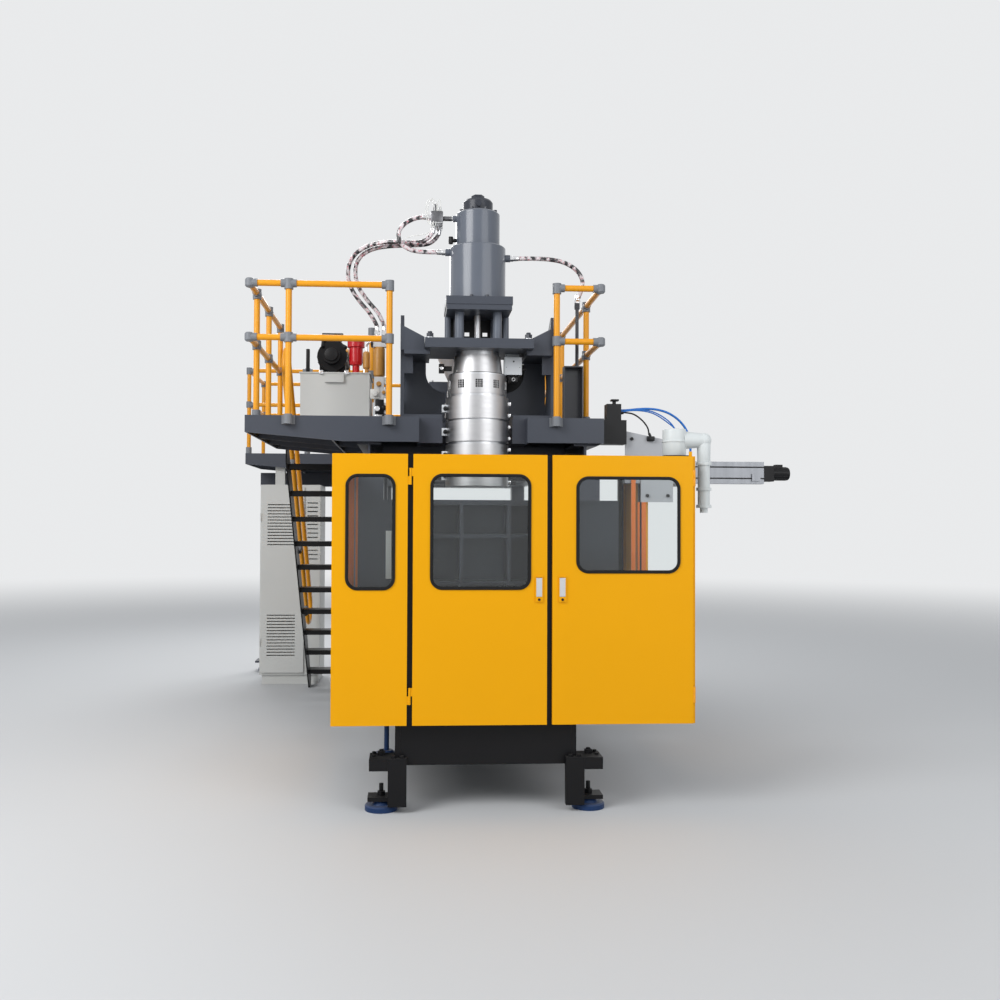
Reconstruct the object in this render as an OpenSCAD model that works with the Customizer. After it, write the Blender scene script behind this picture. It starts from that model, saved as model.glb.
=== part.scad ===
// Extrusion blow moulding machine with an accumulator head, a clamp that opens
// front to back behind a yellow guard, and an upper deck for the extruder.
// X runs to the right, Y away from the front doors, Z up from the floor.
// Modules are drawn with the die axis at X = 0, Y = 0; place() then centres the
// whole machine over the origin.

/* [Guard] */
// Left edge of the guard, from the die axis
guard_left = 912; // [880:1:940]
// Right edge of the guard, from the die axis
guard_right = 1236; // [1200:1:1280]
// Distance of the guard front from the die axis
guard_front = 1050; // [1030:1:1080]
// Distance of the guard rear from the die axis
guard_rear = 900; // [880:1:960]
// Height of the lower edge of the guard panels
guard_bottom = 522; // [500:1:540]
// Height of the upper edge of the guard panels
guard_top = 2105; // [2080:1:2110]
// Width of the fixed panel at the left
fixed_panel_w = 440; // [400:1:460]
// Width of the centre door
centre_door_w = 789; // [760:1:800]
// Gap between panels, where the frame shows
panel_gap = 32; // [30:1:36]
// Sheet thickness of the panels
sheet = 2; // [1.5:0.5:3]
// Depth of the folded edge of a door
fold = 25; // [20:1:26]
// Square tube of the guard frame
guard_tube = 40; // [35:1:40]
// Height of the door windows
window_h = 680; // [600:5:700]
// Corner radius of the windows
window_r = 72; // [40:1:90]

/* [Clamp] */
// Width of the platens
platen_w = 1640; // [1400:10:1650]
// Height of the platens
platen_h = 1142; // [1000:1:1180]
// Depth of a platen with its ribs
platen_t = 250; // [200:5:260]
// Opening between the platens with the clamp open
daylight = 1140; // [1100:10:1180]
// Travel of each platen
clamp_stroke = 370; // [200:5:380]
// Diameter of the tie bars
tie_d = 90; // [60:1:95]
// Distance of the tie bars from the machine centre
tie_x = 560; // [540:1:575]

/* [Deck] */
// Height of the walking surface
deck_top = 2417; // [2400:1:2450]
// Height of the deck fascia
fascia_h = 171; // [150:1:180]
// Left end of the left deck, from the die axis
left_deck_x = 1566; // [1500:1:1600]
// Right edge of the right deck, from the die axis
right_deck_x = 860; // [850:1:880]
// Front edge of the decks, from the die axis
deck_front = 150; // [130:1:170]
// Rear edge of the decks, from the die axis
deck_rear = 4900; // [4850:10:4950]
// Left edge of the rear landing, from the die axis
landing_x = 2206; // [2190:1:2206]
// Front edge of the rear landing, from the die axis
landing_y = 3800; // [3780:5:3850]

/* [Railing] */
// Height of the top rail
rail_top = 3298; // [3250:1:3350]
// Height of the middle rail
rail_mid = 2935; // [2900:1:2960]
// Outer diameter of the rail tube
rail_d = 42; // [36:1:46]

/* [Head] */
// Outer diameter of the heater bands
band_d = 435; // [420:1:440]
// Height of the upper face of the lower plate
lower_plate_top = 2938; // [2932:1:2945]
// Width of the lower plate
lower_plate_w = 730; // [700:1:760]
// Width of the upper plate
upper_plate_w = 450; // [430:1:480]
// Height of the underside of the upper plate
upper_plate_z = 3136; // [3126:1:3146]
// Diameter of the push cylinder
cylinder_d = 386; // [370:1:400]
// Diameter of the upper cylinder
upper_cylinder_d = 304; // [290:1:320]
// Stroke of the ram
ram_stroke = 180; // [100:5:190]
// Stroke of the mandrel
mandrel_stroke = 30; // [10:1:35]

/* [Extruder] */
// Height of the extruder axis
extruder_z = 2800; // [2790:1:2810]
// Screw diameter
screw_d = 90; // [60:1:100]
// Outer diameter of the barrel
barrel_d = 170; // [150:1:180]
// Radius of the hopper
hopper_r = 200; // [180:5:220]

/* [Hidden] */
$fn = 48;
mid_y = (deck_rear - guard_front - 11) / 2;
slate = [0.34, 0.36, 0.40];
black = [0.10, 0.10, 0.11];
yellow = [0.92, 0.66, 0.02];
rail_yellow = [0.93, 0.62, 0.12];
clamp_grey = [0.60, 0.60, 0.62];
steel = [0.72, 0.73, 0.75];
pale = [0.77, 0.77, 0.75];
seam = 0.5;
run_fit = 0.1;
beam_h = 150;
deck_low = deck_top - fascia_h;
beam_low = deck_low - beam_h;
base_top = 600;
base_low = 270;
base_half = 540;
base_front = 950;
base_rear = 1850;
column_x = 740;
rail_in = 30;
rear_rail_y = deck_rear - rail_in;
side_rail_x = right_deck_x - rail_in;
front_rail_y = -deck_front - rail_in;
left_rail_x = left_deck_x - rail_in;
landing_rail_x = landing_x - rail_in;
landing_rail_y = landing_y + rail_in;
door_gap_x = -guard_left + fixed_panel_w + panel_gap / 2;
centre_x = door_gap_x + panel_gap / 2;
mid_gap_x = centre_x + centre_door_w + panel_gap / 2;
right_x = mid_gap_x + panel_gap / 2;
strip_w = 15;
right_door_w = guard_right - strip_w - right_x;
panel_h = guard_top - guard_bottom;
pin_y = -guard_front + 4;
right_pin_x = guard_right - strip_w / 2;
side_door_y = -594;
side_door_w = 844;
side_pin_y = side_door_y + side_door_w + panel_gap / 4;
side_pin_x = -guard_left + 4;

// Moves the drawing so that the origin lies under the middle of the machine
module place() {
  translate([0, -mid_y, 0]) children();
}

// Box between two corners
module block(a, b) {
  translate(a) cube(b - a);
}

// Round bars along each axis
module rod_x(d, y, z, x0, x1) {
  translate([x0, y, z]) rotate([0, 90, 0]) cylinder(d = d, h = x1 - x0);
}
module rod_y(d, x, z, y0, y1) {
  translate([x, y0, z]) rotate([-90, 0, 0]) cylinder(d = d, h = y1 - y0);
}
module rod_z(d, x, y, z0, z1) {
  translate([x, y, z0]) cylinder(d = d, h = z1 - z0);
}

// Rectangle with round corners, centred
module rounded(w, h, r) {
  square([w - 2 * r, h], center = true);
  square([w, h - 2 * r], center = true);
  for (x = [-1, 1], y = [-1, 1])
    translate([x * (w / 2 - r), y * (h / 2 - r)]) circle(r);
}

// Children as drawn for side = 1, or mirrored across X = 0 for side = -1
module mirrored(side) {
  mirror([side < 0 ? 1 : 0, 0, 0]) children();
}

// Flat outline in X and Z, drawn as a plate from y0 to y1
module plate_y(y0, y1) {
  translate([0, y1, 0]) rotate([90, 0, 0]) linear_extrude(y1 - y0) children();
}

// Flat outline in Y and Z, drawn as a plate from x0 to x1
module plate_x(x0, x1) {
  translate([x0, 0, 0]) rotate([90, 0, 90]) linear_extrude(x1 - x0) children();
}

// Welded base of the clamp: side plates and webs under a top plate, with the
// guide rails, the guard arms, the outriggers, the foot brackets and, at the
// front corners, short posts with a shoe over the foot
foot_x = 620;
foot_y = [-900, 400, 1790];
post_in = 470;
post_out = 580;
post_y = -1010;
shoe_z = [60, 84];
web_t = 30;
web_pitch = (base_front + base_rear - web_t) / 4;
base_skin = 40;
foot_arm_top = 320;
rail_x = 430;
rail_t = 40;
outrigger_x = 840;
arm_y = [-900, 700];
post_top = 780;
pin_bore = 60;
pin_low = 580;

module base_frame() {
  color(black) place() {
    difference() {
      block([-base_half, -base_front, base_top - base_skin], [base_half, base_rear, base_top]);
      rod_z(pin_bore + 2 * run_fit, 0, 0, base_top - base_skin - 1, base_top + 1);
    }
    for (x = [-1, 1]) {
      mirrored(x) {
        block([base_half - web_t, -base_front, base_low],
          [base_half, base_rear, base_top - base_skin - seam]);
        block([base_half + seam, -100, 420], [outrigger_x, 100, base_top]);
        block([rail_x - 30, -base_front, base_top + seam], [rail_x + 30, base_rear, base_top + rail_t]);
        for (y = foot_y)
          block([base_half + seam, y - 60, foot_arm_top - 70], [foot_x + 70, y + 60, foot_arm_top]);
        block([post_in, post_y, shoe_z[0] - 20], [post_out, foot_y[0] - 60 - seam, foot_arm_top]);
        block([post_out + seam, post_y, foot_arm_top - 70],
          [foot_x + 70, foot_y[0] - 60 - seam, foot_arm_top]);
        block([base_half + seam, foot_y[0] - 60, shoe_z[0]], [foot_x + 80, foot_y[0] + 60, shoe_z[1]]);
      }
      for (y = arm_y)
        block([x < 0 ? lf + guard_tube : base_half + seam, y, frame_low],
          [x < 0 ? -base_half - seam : rf - guard_tube, y + 60, frame_low + guard_tube]);
    }
    for (k = [0 : 4])
      block([web_t + seam - base_half, -base_front + k * web_pitch, base_low],
        [base_half - web_t - seam, -base_front + k * web_pitch + web_t, base_top - base_skin - seam]);
    difference() {
      block([-100, -100, base_top + seam], [100, 100, post_top]);
      rod_z(pin_bore + 2 * run_fit, 0, 0, base_top, post_top + 1);
    }
  }
}

// Levelling feet: a disc, a shoulder, a stud and two nuts
column_feet = [[column_x, 2300], [-column_x, 2300], [column_x, 4300],
  [-column_x, 4300], [-2080, 4660]];
pad_d = 195;
column_plate_z = 100;

module levelling_foot(top) {
  rotate_extrude() polygon([[0, 0], [pad_d / 2, 0], [pad_d / 2, 26], [pad_d / 2 - 8, 34],
    [60, 36], [44, 55], [18, 55], [18, top], [0, top]]);
}

module levelling_feet() {
  color([0.08, 0.16, 0.30]) place() {
    for (x = [-1, 1], y = foot_y)
      translate([x * foot_x, y, 0]) levelling_foot(y == foot_y[0] ? shoe_z[0] : foot_arm_top - 70);
    for (p = column_feet)
      translate([p[0], p[1], 0]) levelling_foot(column_plate_z);
  }
}

// Columns and main beams under the decks, with the brackets of the take-out unit
bracket_end = 1035;
cross_y = [280, 600, 1400, 2700, 3750, 4740];
head_gap_l = 401;
head_gap_r = 335;
mid_deck_y = 700;
left_deck_y = 1450;
well_x = 820;

module i_beam_y(x, y0, y1) {
  plate_y(y0, y1) difference() {
    translate([x - 80, beam_low]) square([160, beam_h]);
    for (s = [-1, 1])
      translate([x + s * 48, beam_low + beam_h / 2]) square([80, beam_h - 32], center = true);
  }
}

module support_frame() {
  color(slate) place() {
    for (x = [-1, 1]) {
      block([x * column_x - 100, -100, base_top + seam], [x * column_x + 100, 100, beam_low - seam]);
      i_beam_y(x * column_x, -100, deck_rear);
    }
    block([-head_gap_l + 1, -60, deck_low + seam], [-240, mid_deck_y - 1, deck_top]);
    block([240, -60, deck_low + seam], [head_gap_r - 1, mid_deck_y - 1, deck_top]);
    for (p = column_feet) {
      block([p[0] - 70, p[1] - 70, column_plate_z + 20 + seam],
        [p[0] + 70, p[1] + 70, beam_low - seam]);
      block([p[0] - 120, p[1] - 120, column_plate_z], [p[0] + 120, p[1] + 120, column_plate_z + 20]);
    }
    for (y = cross_y)
      block([-column_x + 80 + seam, y, beam_low], [column_x - 80 - seam, y + 100, deck_low]);
    block([-2160, 4580, beam_low], [-column_x - 80 - seam, 4740, deck_low]);
    block([-120, 1240, deck_top + seam], [120, 1300, extruder_z - barrel_d / 2]);
    block([right_deck_x, -60, 2250], [bracket_end, 60, deck_top]);
    block([900, -50, deck_top + seam], [1000, 50, 2530]);
  }
}

// Decks: chequer plate trays with a folded fascia and ribs underneath
taper_x = 914;
tray_end_h = 115;
rib_pitch = 600;
rib = 12;

module tray(x0, x1, y0, y1) {
  nx = ceil((x1 - x0) / rib_pitch);
  ny = ceil((y1 - y0) / rib_pitch);
  px = (x1 - x0 - rib) / nx;
  py = (y1 - y0 - rib) / ny;
  difference() {
    block([x0, y0, deck_low], [x1, y1, deck_top]);
    for (i = [0 : nx - 1], j = [0 : ny - 1])
      block([x0 + rib + i * px, y0 + rib + j * py, deck_low - 1],
        [x0 + (i + 1) * px, y0 + (j + 1) * py, deck_top - rib]);
  }
}

module taper(x0, x1, y0, y1) {
  plate_y(y0 - 1, y1 + 1)
    polygon([[x0 - 1, deck_low - 1], [x0 - 1, deck_top - tray_end_h], [x0, deck_top - tray_end_h],
      [x1, deck_low], [x1, deck_low - 1]]);
}

module decks() {
  color(slate) place() {
    difference() {
      tray(-left_deck_x, -head_gap_l, -deck_front, left_deck_y);
      taper(-left_deck_x, -taper_x, -deck_front, left_deck_y);
    }
    tray(head_gap_r, right_deck_x, -deck_front, landing_y - 1);
    tray(-head_gap_l + 1, head_gap_r - 1, mid_deck_y, left_deck_y);
    tray(-well_x, head_gap_r - 1, left_deck_y + 1, landing_y - 1);
    difference() {
      tray(-landing_x, right_deck_x, landing_y, deck_rear);
      taper(-landing_x, -left_deck_x, landing_y, deck_rear);
    }
  }
}

// Railing of straight tubes in cast clamp fittings
left_posts = [[-1276, front_rail_y], [-604, front_rail_y]];
left_side_y = [150, 740, 1410];
right_post_x = 529;
right_side_y = [390, 1580, 2630, 3700];
rear_post_x = [-1200, -180];
well_rail_x = -well_x + rail_in;
well_post_y = [1481 + rail_in, 2640, 3740];
landing_posts_x = [-1560, -900];
fit_d = 60;
fit_end_d = 54;
fit_len = 64;
elbow = [[0, -30], [22, -30], [30, -21], [30, 21], [22, 30], [0, 30]];
arm_len = 52;
tube_start = 24;
socket_low = 60;

module tube_between(a, b) {
  v = b - a;
  l = norm(v);
  translate(a) rotate([0, acos(v[2] / l), atan2(v[1], v[0])])
    translate([0, 0, tube_start]) cylinder(d = rail_d, h = l - 2 * tube_start);
}

function levels() = [rail_mid, rail_top];

module upright(p, base_z) {
  rod_z(rail_d, p[0], p[1], base_z, rail_top - tube_start);
}

// Runs of rail: each is a list of the points that its tubes join
function runs() = [
  concat([[-left_rail_x, left_side_y[2]], [-left_rail_x, left_side_y[1]],
    [-left_rail_x, left_side_y[0]], [-left_rail_x, front_rail_y]], left_posts),
  concat([[right_post_x, front_rail_y], [side_rail_x, front_rail_y]],
    [for (y = right_side_y) [side_rail_x, y]],
    [[side_rail_x, rear_rail_y]], [for (i = [1, 0]) [rear_post_x[i], rear_rail_y]],
    [[-landing_rail_x, rear_rail_y], [-landing_rail_x, landing_rail_y]],
    [for (x = landing_posts_x) [x, landing_rail_y]]),
  [for (y = well_post_y) [well_rail_x, y]]];

function corners() = [[-left_rail_x, front_rail_y], [side_rail_x, front_rail_y]];
function is_corner(p) = len([for (c = corners()) if (norm(c - p) < 1) c]) > 0;
function is_front(p) = abs(p[1] - front_rail_y) < 1;

// Handrails of the stair: long loops parallel to the stringers
tread_rise = 220;
tread_run = 200;
tread_first_z = 2183;
tread_first_y = 1530;
stair_x = [-1486, -990];
slope = atan(tread_rise / tread_run);
loop_x = [stair_x[0] + 8, stair_x[1]];
loop_top = -540;
loop_end = 2340;
loop_low = 120;
loop_high = 420;
loop_cut = 0.08;
string_up = 196;
string_down = 77;

stair_foot_y = 3600;
function stringer_z(y, up) = tread_first_z + up - (y - tread_first_y) * tread_rise / tread_run;

module on_slope() {
  translate([0, tread_first_y, tread_first_z + string_up]) rotate([-slope, 0, 0]) children();
}

module hand_loop() {
  r = (loop_high - loop_low) / 2;
  for (z = [loop_low, loop_high])
    rod_y(rail_d, 0, z, loop_top + seam / 2, loop_end - seam / 2);
  for (e = [0, 1], q = [0, 90])
    translate([0, e ? loop_end : loop_top, loop_low + r]) rotate([90, e ? 90 : -90, 90])
      rotate([0, 0, q + loop_cut]) rotate_extrude(angle = 90 - 2 * loop_cut)
        translate([r, 0]) circle(d = rail_d);
}

module rail_tubes() {
  color(rail_yellow) place() {
    for (run = runs()) {
      for (p = run)
        if (!is_corner(p))
          upright(p, is_front(p) ? deck_top - socket_low + 5 : deck_top + 5);
      for (i = [1 : len(run) - 1], z = levels())
        tube_between([run[i - 1][0], run[i - 1][1], z], [run[i][0], run[i][1], z]);
    }
    for (x = loop_x)
      on_slope() translate([x, 0, 0]) hand_loop();
  }
}

// One clamp fitting with a sleeve for each tube that meets in it
module fitting(p, z, to, post) {
  translate([p[0], p[1], z]) difference() {
    union() {
      if (post)
        translate([0, 0, z > rail_mid + 1 ? -fit_len / 2 - 8 : -fit_len / 2])
          cylinder(d = fit_d, h = z > rail_mid + 1 ? fit_len / 2 + 38 : fit_len);
      else
        rotate_extrude() polygon(elbow);
      for (t = to)
        rotate([0, 90, atan2(t[1] - p[1], t[0] - p[0])]) cylinder(d = fit_end_d, h = arm_len);
    }
    if (post)
      translate([0, 0, -fit_len])
        cylinder(d = rail_d + 0.2, h = z > rail_mid + 1 ? fit_len - tube_start + 0.1 : 2 * fit_len);
    for (t = to)
      rotate([0, 90, atan2(t[1] - p[1], t[0] - p[0])])
        translate([0, 0, tube_start - 0.1]) cylinder(d = rail_d + 0.2, h = arm_len);
  }
}

module socket(p) {
  front = is_front(p);
  z0 = front ? deck_top - socket_low : deck_top;
  difference() {
    union() {
      rod_z(fit_d, p[0], p[1], z0, z0 + socket_low + 5);
      if (front)
        block([p[0] - 45, -deck_front - 8, z0], [p[0] + 45, -deck_front, deck_top]);
    }
    rod_z(rail_d + 0.2, p[0], p[1], z0 + 5 - 0.1, z0 + 2 * socket_low);
  }
}

module rail_fittings() {
  color(clamp_grey) place() {
    for (run = runs(), i = [0 : len(run) - 1]) {
      p = run[i];
      to = concat(i > 0 ? [run[i - 1]] : [], i < len(run) - 1 ? [run[i + 1]] : []);
      for (z = levels())
        fitting(p, z, to, !is_corner(p));
      if (!is_corner(p))
        socket(p);
    }
    for (i = [0, 1], y = [300, 1300, 2150])
      on_slope() rod_z(rail_d, loop_x[i], y, 0, loop_low - rail_d / 2 - 0.2);
  }
}

// Stair: two plate stringers, and treads with a lip along both edges
module stair() {
  color(black) place() {
    for (x = stair_x)
      plate_x(x - 6, x + 6)
        polygon([[left_deck_y, deck_top],
          [left_deck_y, stringer_z(left_deck_y, -string_down)],
          [tread_first_y + (tread_first_z - string_down) * tread_run / tread_rise, 0],
          [stair_foot_y, 0], [stair_foot_y, stringer_z(stair_foot_y, string_up)],
          [tread_first_y + (tread_first_z + string_up - deck_top) * tread_run / tread_rise, deck_top]]);
    for (k = [0 : 9])
      translate([0, tread_first_y + k * tread_run, tread_first_z - k * tread_rise]) {
        block([stair_x[0] + 6 + seam, -20, -6], [stair_x[1] - 6 - seam, 160, 0]);
        for (y = [-20, 154])
          block([stair_x[0] + 6 + seam, y, -45], [stair_x[1] - 6 - seam, y + 6, -6 - seam]);
      }
  }
}

// Electric cabinet of folded panels, with a louvred door
cab_left = -2020;
cab_right = -1400;
cab_front = 3650;
cab_depth = 600;
cab_rear = cab_front + cab_depth;
cab_top = 2080;
cab_low = 100;
cab_wall = 3;
cab_door_x = -2004;
cab_door_w = 440;
cab_pin_x = cab_door_x - 8;
cab_pin_y = cab_front - 24;
cab_pin_d = 8;
louvre_z = 1300;
duct_x = -1900;
duct_y = 3880;
duct_w = 100;

module electric_cabinet() {
  in_l = cab_left + cab_wall + seam;
  in_r = cab_right - cab_wall - seam;
  in_f = cab_front + cab_wall + seam;
  in_b = cab_rear - cab_wall - seam;
  open_l = cab_door_x + 20;
  open_r = cab_door_x + cab_door_w - 20;
  color(pale) place() {
    for (x = [cab_left, cab_right - cab_wall])
      block([x, cab_front, cab_low], [x + cab_wall, cab_rear, cab_top]);
    block([in_l, cab_rear - cab_wall, cab_low], [in_r, cab_rear, cab_top]);
    for (z = [cab_low, cab_top - cab_wall])
      block([in_l, in_f, z], [in_r, in_b, z + cab_wall]);
    block([in_l, cab_front, cab_low], [open_l, cab_front + cab_wall, cab_top]);
    for (z = [cab_low, cab_top - 40])
      block([open_l + seam, cab_front, z], [open_r - seam, cab_front + cab_wall, z + 40]);
    difference() {
      block([open_r, cab_front, cab_low], [in_r, cab_front + cab_wall, cab_top]);
      for (k = [0 : 13])
        block([open_r + 50, cab_front - 1, louvre_z + k * 45],
          [cab_right - 25, cab_front + cab_wall + 1, louvre_z + 12 + k * 45]);
    }
    for (y = [cab_front + 30, cab_rear - 50])
      block([cab_left + 20, y, 0], [cab_right - 20, y + 20, cab_low - seam]);
    for (x = [cab_left + 20, cab_right - 40])
      block([x, cab_front + 50 + seam, 0], [x + 20, cab_rear - 50 - seam, cab_low - seam]);
    block([duct_x, duct_y, cab_top + seam], [duct_x + duct_w, duct_y + duct_w, deck_top - rib]);
    for (z = [400, 1700]) {
      rod_z(16, cab_pin_x, cab_pin_y, z, z + 40);
      rod_z(cab_pin_d, cab_pin_x, cab_pin_y, z + 40, z + 80);
      block([cab_pin_x - 4, cab_pin_y, z], [cab_pin_x + 4, cab_front, z + 40]);
    }
  }
}

module cabinet_door() {
  color(pale) place() difference() {
    union() {
      block([cab_door_x, cab_front - 22, cab_low + 25],
        [cab_door_x + cab_door_w, cab_front - 2, cab_top - 25]);
      for (z = [440, 1740]) {
        rod_z(16, cab_pin_x, cab_pin_y, z + 0.5, z + 40);
        block([cab_pin_x, cab_pin_y - 4, z + 0.5], [cab_door_x + 4, cab_pin_y + 4, z + 40]);
      }
      block([cab_door_x + cab_door_w - 60, cab_front - 40, 1050],
        [cab_door_x + cab_door_w - 30, cab_front - 22, 1170]);
    }
    block([cab_door_x + 2, cab_front - 20, cab_low + 27],
      [cab_door_x + cab_door_w - 2, cab_front - 1, cab_top - 27]);
    for (s = [0, 1], k = [0 : 13])
      block([cab_door_x + 60, cab_front - 30, 300 + s * 1150 + k * 32],
        [cab_door_x + cab_door_w - 90, cab_front - 10, 310 + s * 1150 + k * 32]);
    for (z = [440, 1740])
      rod_z(cab_pin_d + 2 * run_fit, cab_pin_x, cab_pin_y, z, z + 41);
  }
}

// Cheeks that carry the head: a tall side plate with lightening holes, a saddle
// plate, a shelf and gussets, mirrored left and right
cheek_out = 530;
cheek_t = 25;
cheek_top = 3120;
cheek_rear = 1400;
shelf_top = lower_plate_top - 65;
shelf_t = 30;
shelf_in = 330;
saddle_y = 235;
saddle_in = 214;
arch_r = 138;
arch_x = 352;
arch_z = 2770;
cheek_holes = [[330, 2660, 150], [760, 2600, 110], [1090, 2545, 75]];

module cheek() {
  plate_x(-cheek_out, -cheek_out + cheek_t) difference() {
    polygon([[-60, deck_top], [-60, cheek_top], [-20, cheek_top],
      [60, cheek_top - 59], [cheek_rear, deck_top + 190], [cheek_rear, deck_top]]);
    for (h = cheek_holes)
      translate([h[0], h[1]]) circle(r = h[2]);
  }
  plate_y(saddle_y, saddle_y + 20) difference() {
    translate([-cheek_out + cheek_t, deck_top])
      square([cheek_out - cheek_t - saddle_in, shelf_top - shelf_t - deck_top]);
    translate([-saddle_in, arch_z]) circle(r = arch_r);
    translate([-arch_x, arch_z]) square([arch_x, shelf_top - arch_z]);
  }
  block([-cheek_out + cheek_t, -150, shelf_top - shelf_t], [-shelf_in, saddle_y + 20, shelf_top]);
  block([-cheek_out + cheek_t, -60, deck_top], [-saddle_in - 30, saddle_y, deck_top + 25]);
  for (y = [-140, 0, saddle_y])
    plate_y(y, y + 16)
      polygon([[-cheek_out, shelf_top - 1], [-cheek_out, shelf_top + 159],
        [-lower_plate_w / 2 - 2, shelf_top + 75], [-lower_plate_w / 2 - 2, shelf_top - 1]]);
  plate_y(-140, saddle_y + 16)
    polygon([[-cheek_out, shelf_top + 159], [-cheek_out, shelf_top + 171],
      [-lower_plate_w / 2 - 2, shelf_top + 87], [-lower_plate_w / 2 - 2, shelf_top + 75]]);
  block([-cheek_out + cheek_t - 1, -60, shelf_top - 150], [-cheek_out + cheek_t + 60, -44, shelf_top - shelf_t]);
}

module cheeks() {
  color(slate) place() {
    cheek();
    mirror([1, 0, 0]) cheek();
  }
}

// Head stack: plates, stand-offs, cylinder, ram, mandrel and head
ram_d = 42;
core_d = 22;
lower_plate_half_y = 250;
standoff_d = 60;
side_standoff_d = 42;
standoff_at = [[-130, -110], [130, -110], [-130, 110], [130, 110]];
side_standoff_at = [[-204, 60], [204, 60]];
upper_plate_top = upper_plate_z + 90;
back_plate = [214, 160, 172];
back_slots = [-64, 64];

module lower_plate() {
  color(slate) place() difference() {
    block([-lower_plate_w / 2, -lower_plate_half_y, shelf_top],
      [lower_plate_w / 2, lower_plate_half_y, lower_plate_top]);
    rod_z(ram_d + 2 * run_fit, 0, 0, shelf_top - 1, lower_plate_top + 1);
  }
}

module standoffs() {
  color(slate) place() {
    for (p = standoff_at)
      rod_z(standoff_d, p[0], p[1], lower_plate_top, upper_plate_z);
    for (p = side_standoff_at)
      rod_z(side_standoff_d, p[0], p[1], lower_plate_top, upper_plate_z);
    plate_y(back_plate[1], back_plate[2]) difference() {
      translate([-back_plate[0], lower_plate_top])
        square([2 * back_plate[0], upper_plate_z - lower_plate_top]);
      for (x = back_slots)
        translate([x, (lower_plate_top + upper_plate_z) / 2]) square([34, 28], center = true);
    }
  }
}

module upper_plate() {
  color(slate) place() difference() {
    union() {
      block([-upper_plate_w / 2 + 5, -upper_plate_w / 2 + 5, upper_plate_z],
        [upper_plate_w / 2 - 5, upper_plate_w / 2 - 5, upper_plate_z + 36]);
      block([-upper_plate_w / 2, -upper_plate_w / 2, upper_plate_z + 36],
        [upper_plate_w / 2, upper_plate_w / 2, upper_plate_top]);
    }
    rod_z(ram_d + 2 * run_fit, 0, 0, upper_plate_z - 1, upper_plate_top + 1);
  }
}

cylinder_h = 619;
cylinder_top = upper_plate_top + cylinder_h;
barrel_top = cylinder_top - 241;
push_bore = 300;
push_low = upper_plate_top + 30;
push_high = cylinder_top - 285;
trim_bore = 200;
trim_low = cylinder_top - 155;
port_z = [barrel_top - 29, barrel_top - 64];
port_reach = 225;
port_d = 50;
top_port_z = cylinder_top - 35;

module push_cylinder() {
  color(slate) place() difference() {
    union() {
      rotate_extrude($fn = 96)
        polygon([[0, upper_plate_top], [cylinder_d / 2, upper_plate_top],
          [cylinder_d / 2, barrel_top - 8], [cylinder_d / 2 - 8, barrel_top],
          [upper_cylinder_d / 2, barrel_top + 6], [upper_cylinder_d / 2, cylinder_top - 10],
          [upper_cylinder_d / 2 - 10, cylinder_top], [0, cylinder_top]]);
      rod_x(port_d, 0, port_z[0], -port_reach, 0);
      rod_x(port_d, 0, port_z[1], 0, port_reach);
      rod_x(44, 0, top_port_z, -175, 0);
    }
    rod_z(push_bore, 0, 0, push_low, push_high);
    rod_z(ram_d + 2 * run_fit, 0, 0, upper_plate_top - 1, push_low + 1);
    rod_z(core_d + 2 * run_fit, 0, 0, push_high - 1, trim_low + 1);
    rod_z(trim_bore, 0, 0, trim_low, cylinder_top + 1);
  }
}

cap_d = 207;
cap_h = 90;

module cylinder_cap() {
  color(black) place() {
    translate([0, 0, cylinder_top]) rotate_extrude($fn = 72)
      polygon([[0, 0], [cap_d / 2, 0], [cap_d / 2, cap_h - 16], [cap_d / 2 - 12, cap_h], [0, cap_h]]);
    rod_y(34, 0, cylinder_top + 40, -cap_d / 2 - 16, -cap_d / 2 + 20);
    translate([0, 0, cylinder_top + cap_h - 1]) cylinder(d = 90, h = 38, $fn = 6);
  }
}

ram_piston_t = 60;
melt_bore = 240;
melt_piston_z = 2602;
melt_piston_t = 60;

module ram() {
  color(steel) place() difference() {
    union() {
      rod_z(ram_d, 0, 0, melt_piston_z, push_low + 1);
      rod_z(push_bore - 2 * run_fit, 0, 0, push_low, push_low + ram_piston_t);
      rod_z(melt_bore - 2 * run_fit, 0, 0, melt_piston_z, melt_piston_z + melt_piston_t);
    }
    rod_z(core_d + 2 * run_fit, 0, 0, melt_piston_z - 1, push_low + ram_piston_t + 1);
  }
}

core_top = 2562;
die_low = 1950;
die_bore = 160;
die_lip_z = 1995;

module mandrel() {
  color(steel) place() {
    rod_z(core_d, 0, 0, core_top - 1, trim_low + 1);
    rod_z(trim_bore - 2 * run_fit, 0, 0, trim_low, trim_low + 40);
    translate([0, 0, die_low]) rotate_extrude()
      polygon([[0, 0], [74, 0], [74, 12], [55, 45], [55, core_top - die_low - 50],
        [12, core_top - die_low], [0, core_top - die_low]]);
  }
}

body_d = 400;
neck_d = 300;
neck_low = 2717;
melt_low = 2582;
melt_high = 2852;
adapter_d = 120;
adapter_y = 200;

module head_body() {
  color(steel) place() difference() {
    union() {
      rod_z(body_d, 0, 0, die_low, neck_low);
      rod_z(neck_d, 0, 0, neck_low - 1, shelf_top);
      rod_y(adapter_d, 0, extruder_z, 0, adapter_y);
    }
    rod_z(melt_bore, 0, 0, melt_low, melt_high);
    rod_z(ram_d + 2 * run_fit, 0, 0, melt_high - 1, shelf_top + 1);
    rod_z(die_bore, 0, 0, die_low - 1, melt_low + 1);
    rod_y(screw_d / 2, 0, extruder_z, 100, adapter_y + 1);
  }
}

// Heater covers round the head: neck cover, vented ring and clamped bands
band_z = [[1951, 2087], [2095, 2235], [2253, 2393], [2407, 2559]];
ring_z = [2577, 2706];
ring_d = 407;
neck_cover_z = [2723, 2848];
vents = 10;

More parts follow.
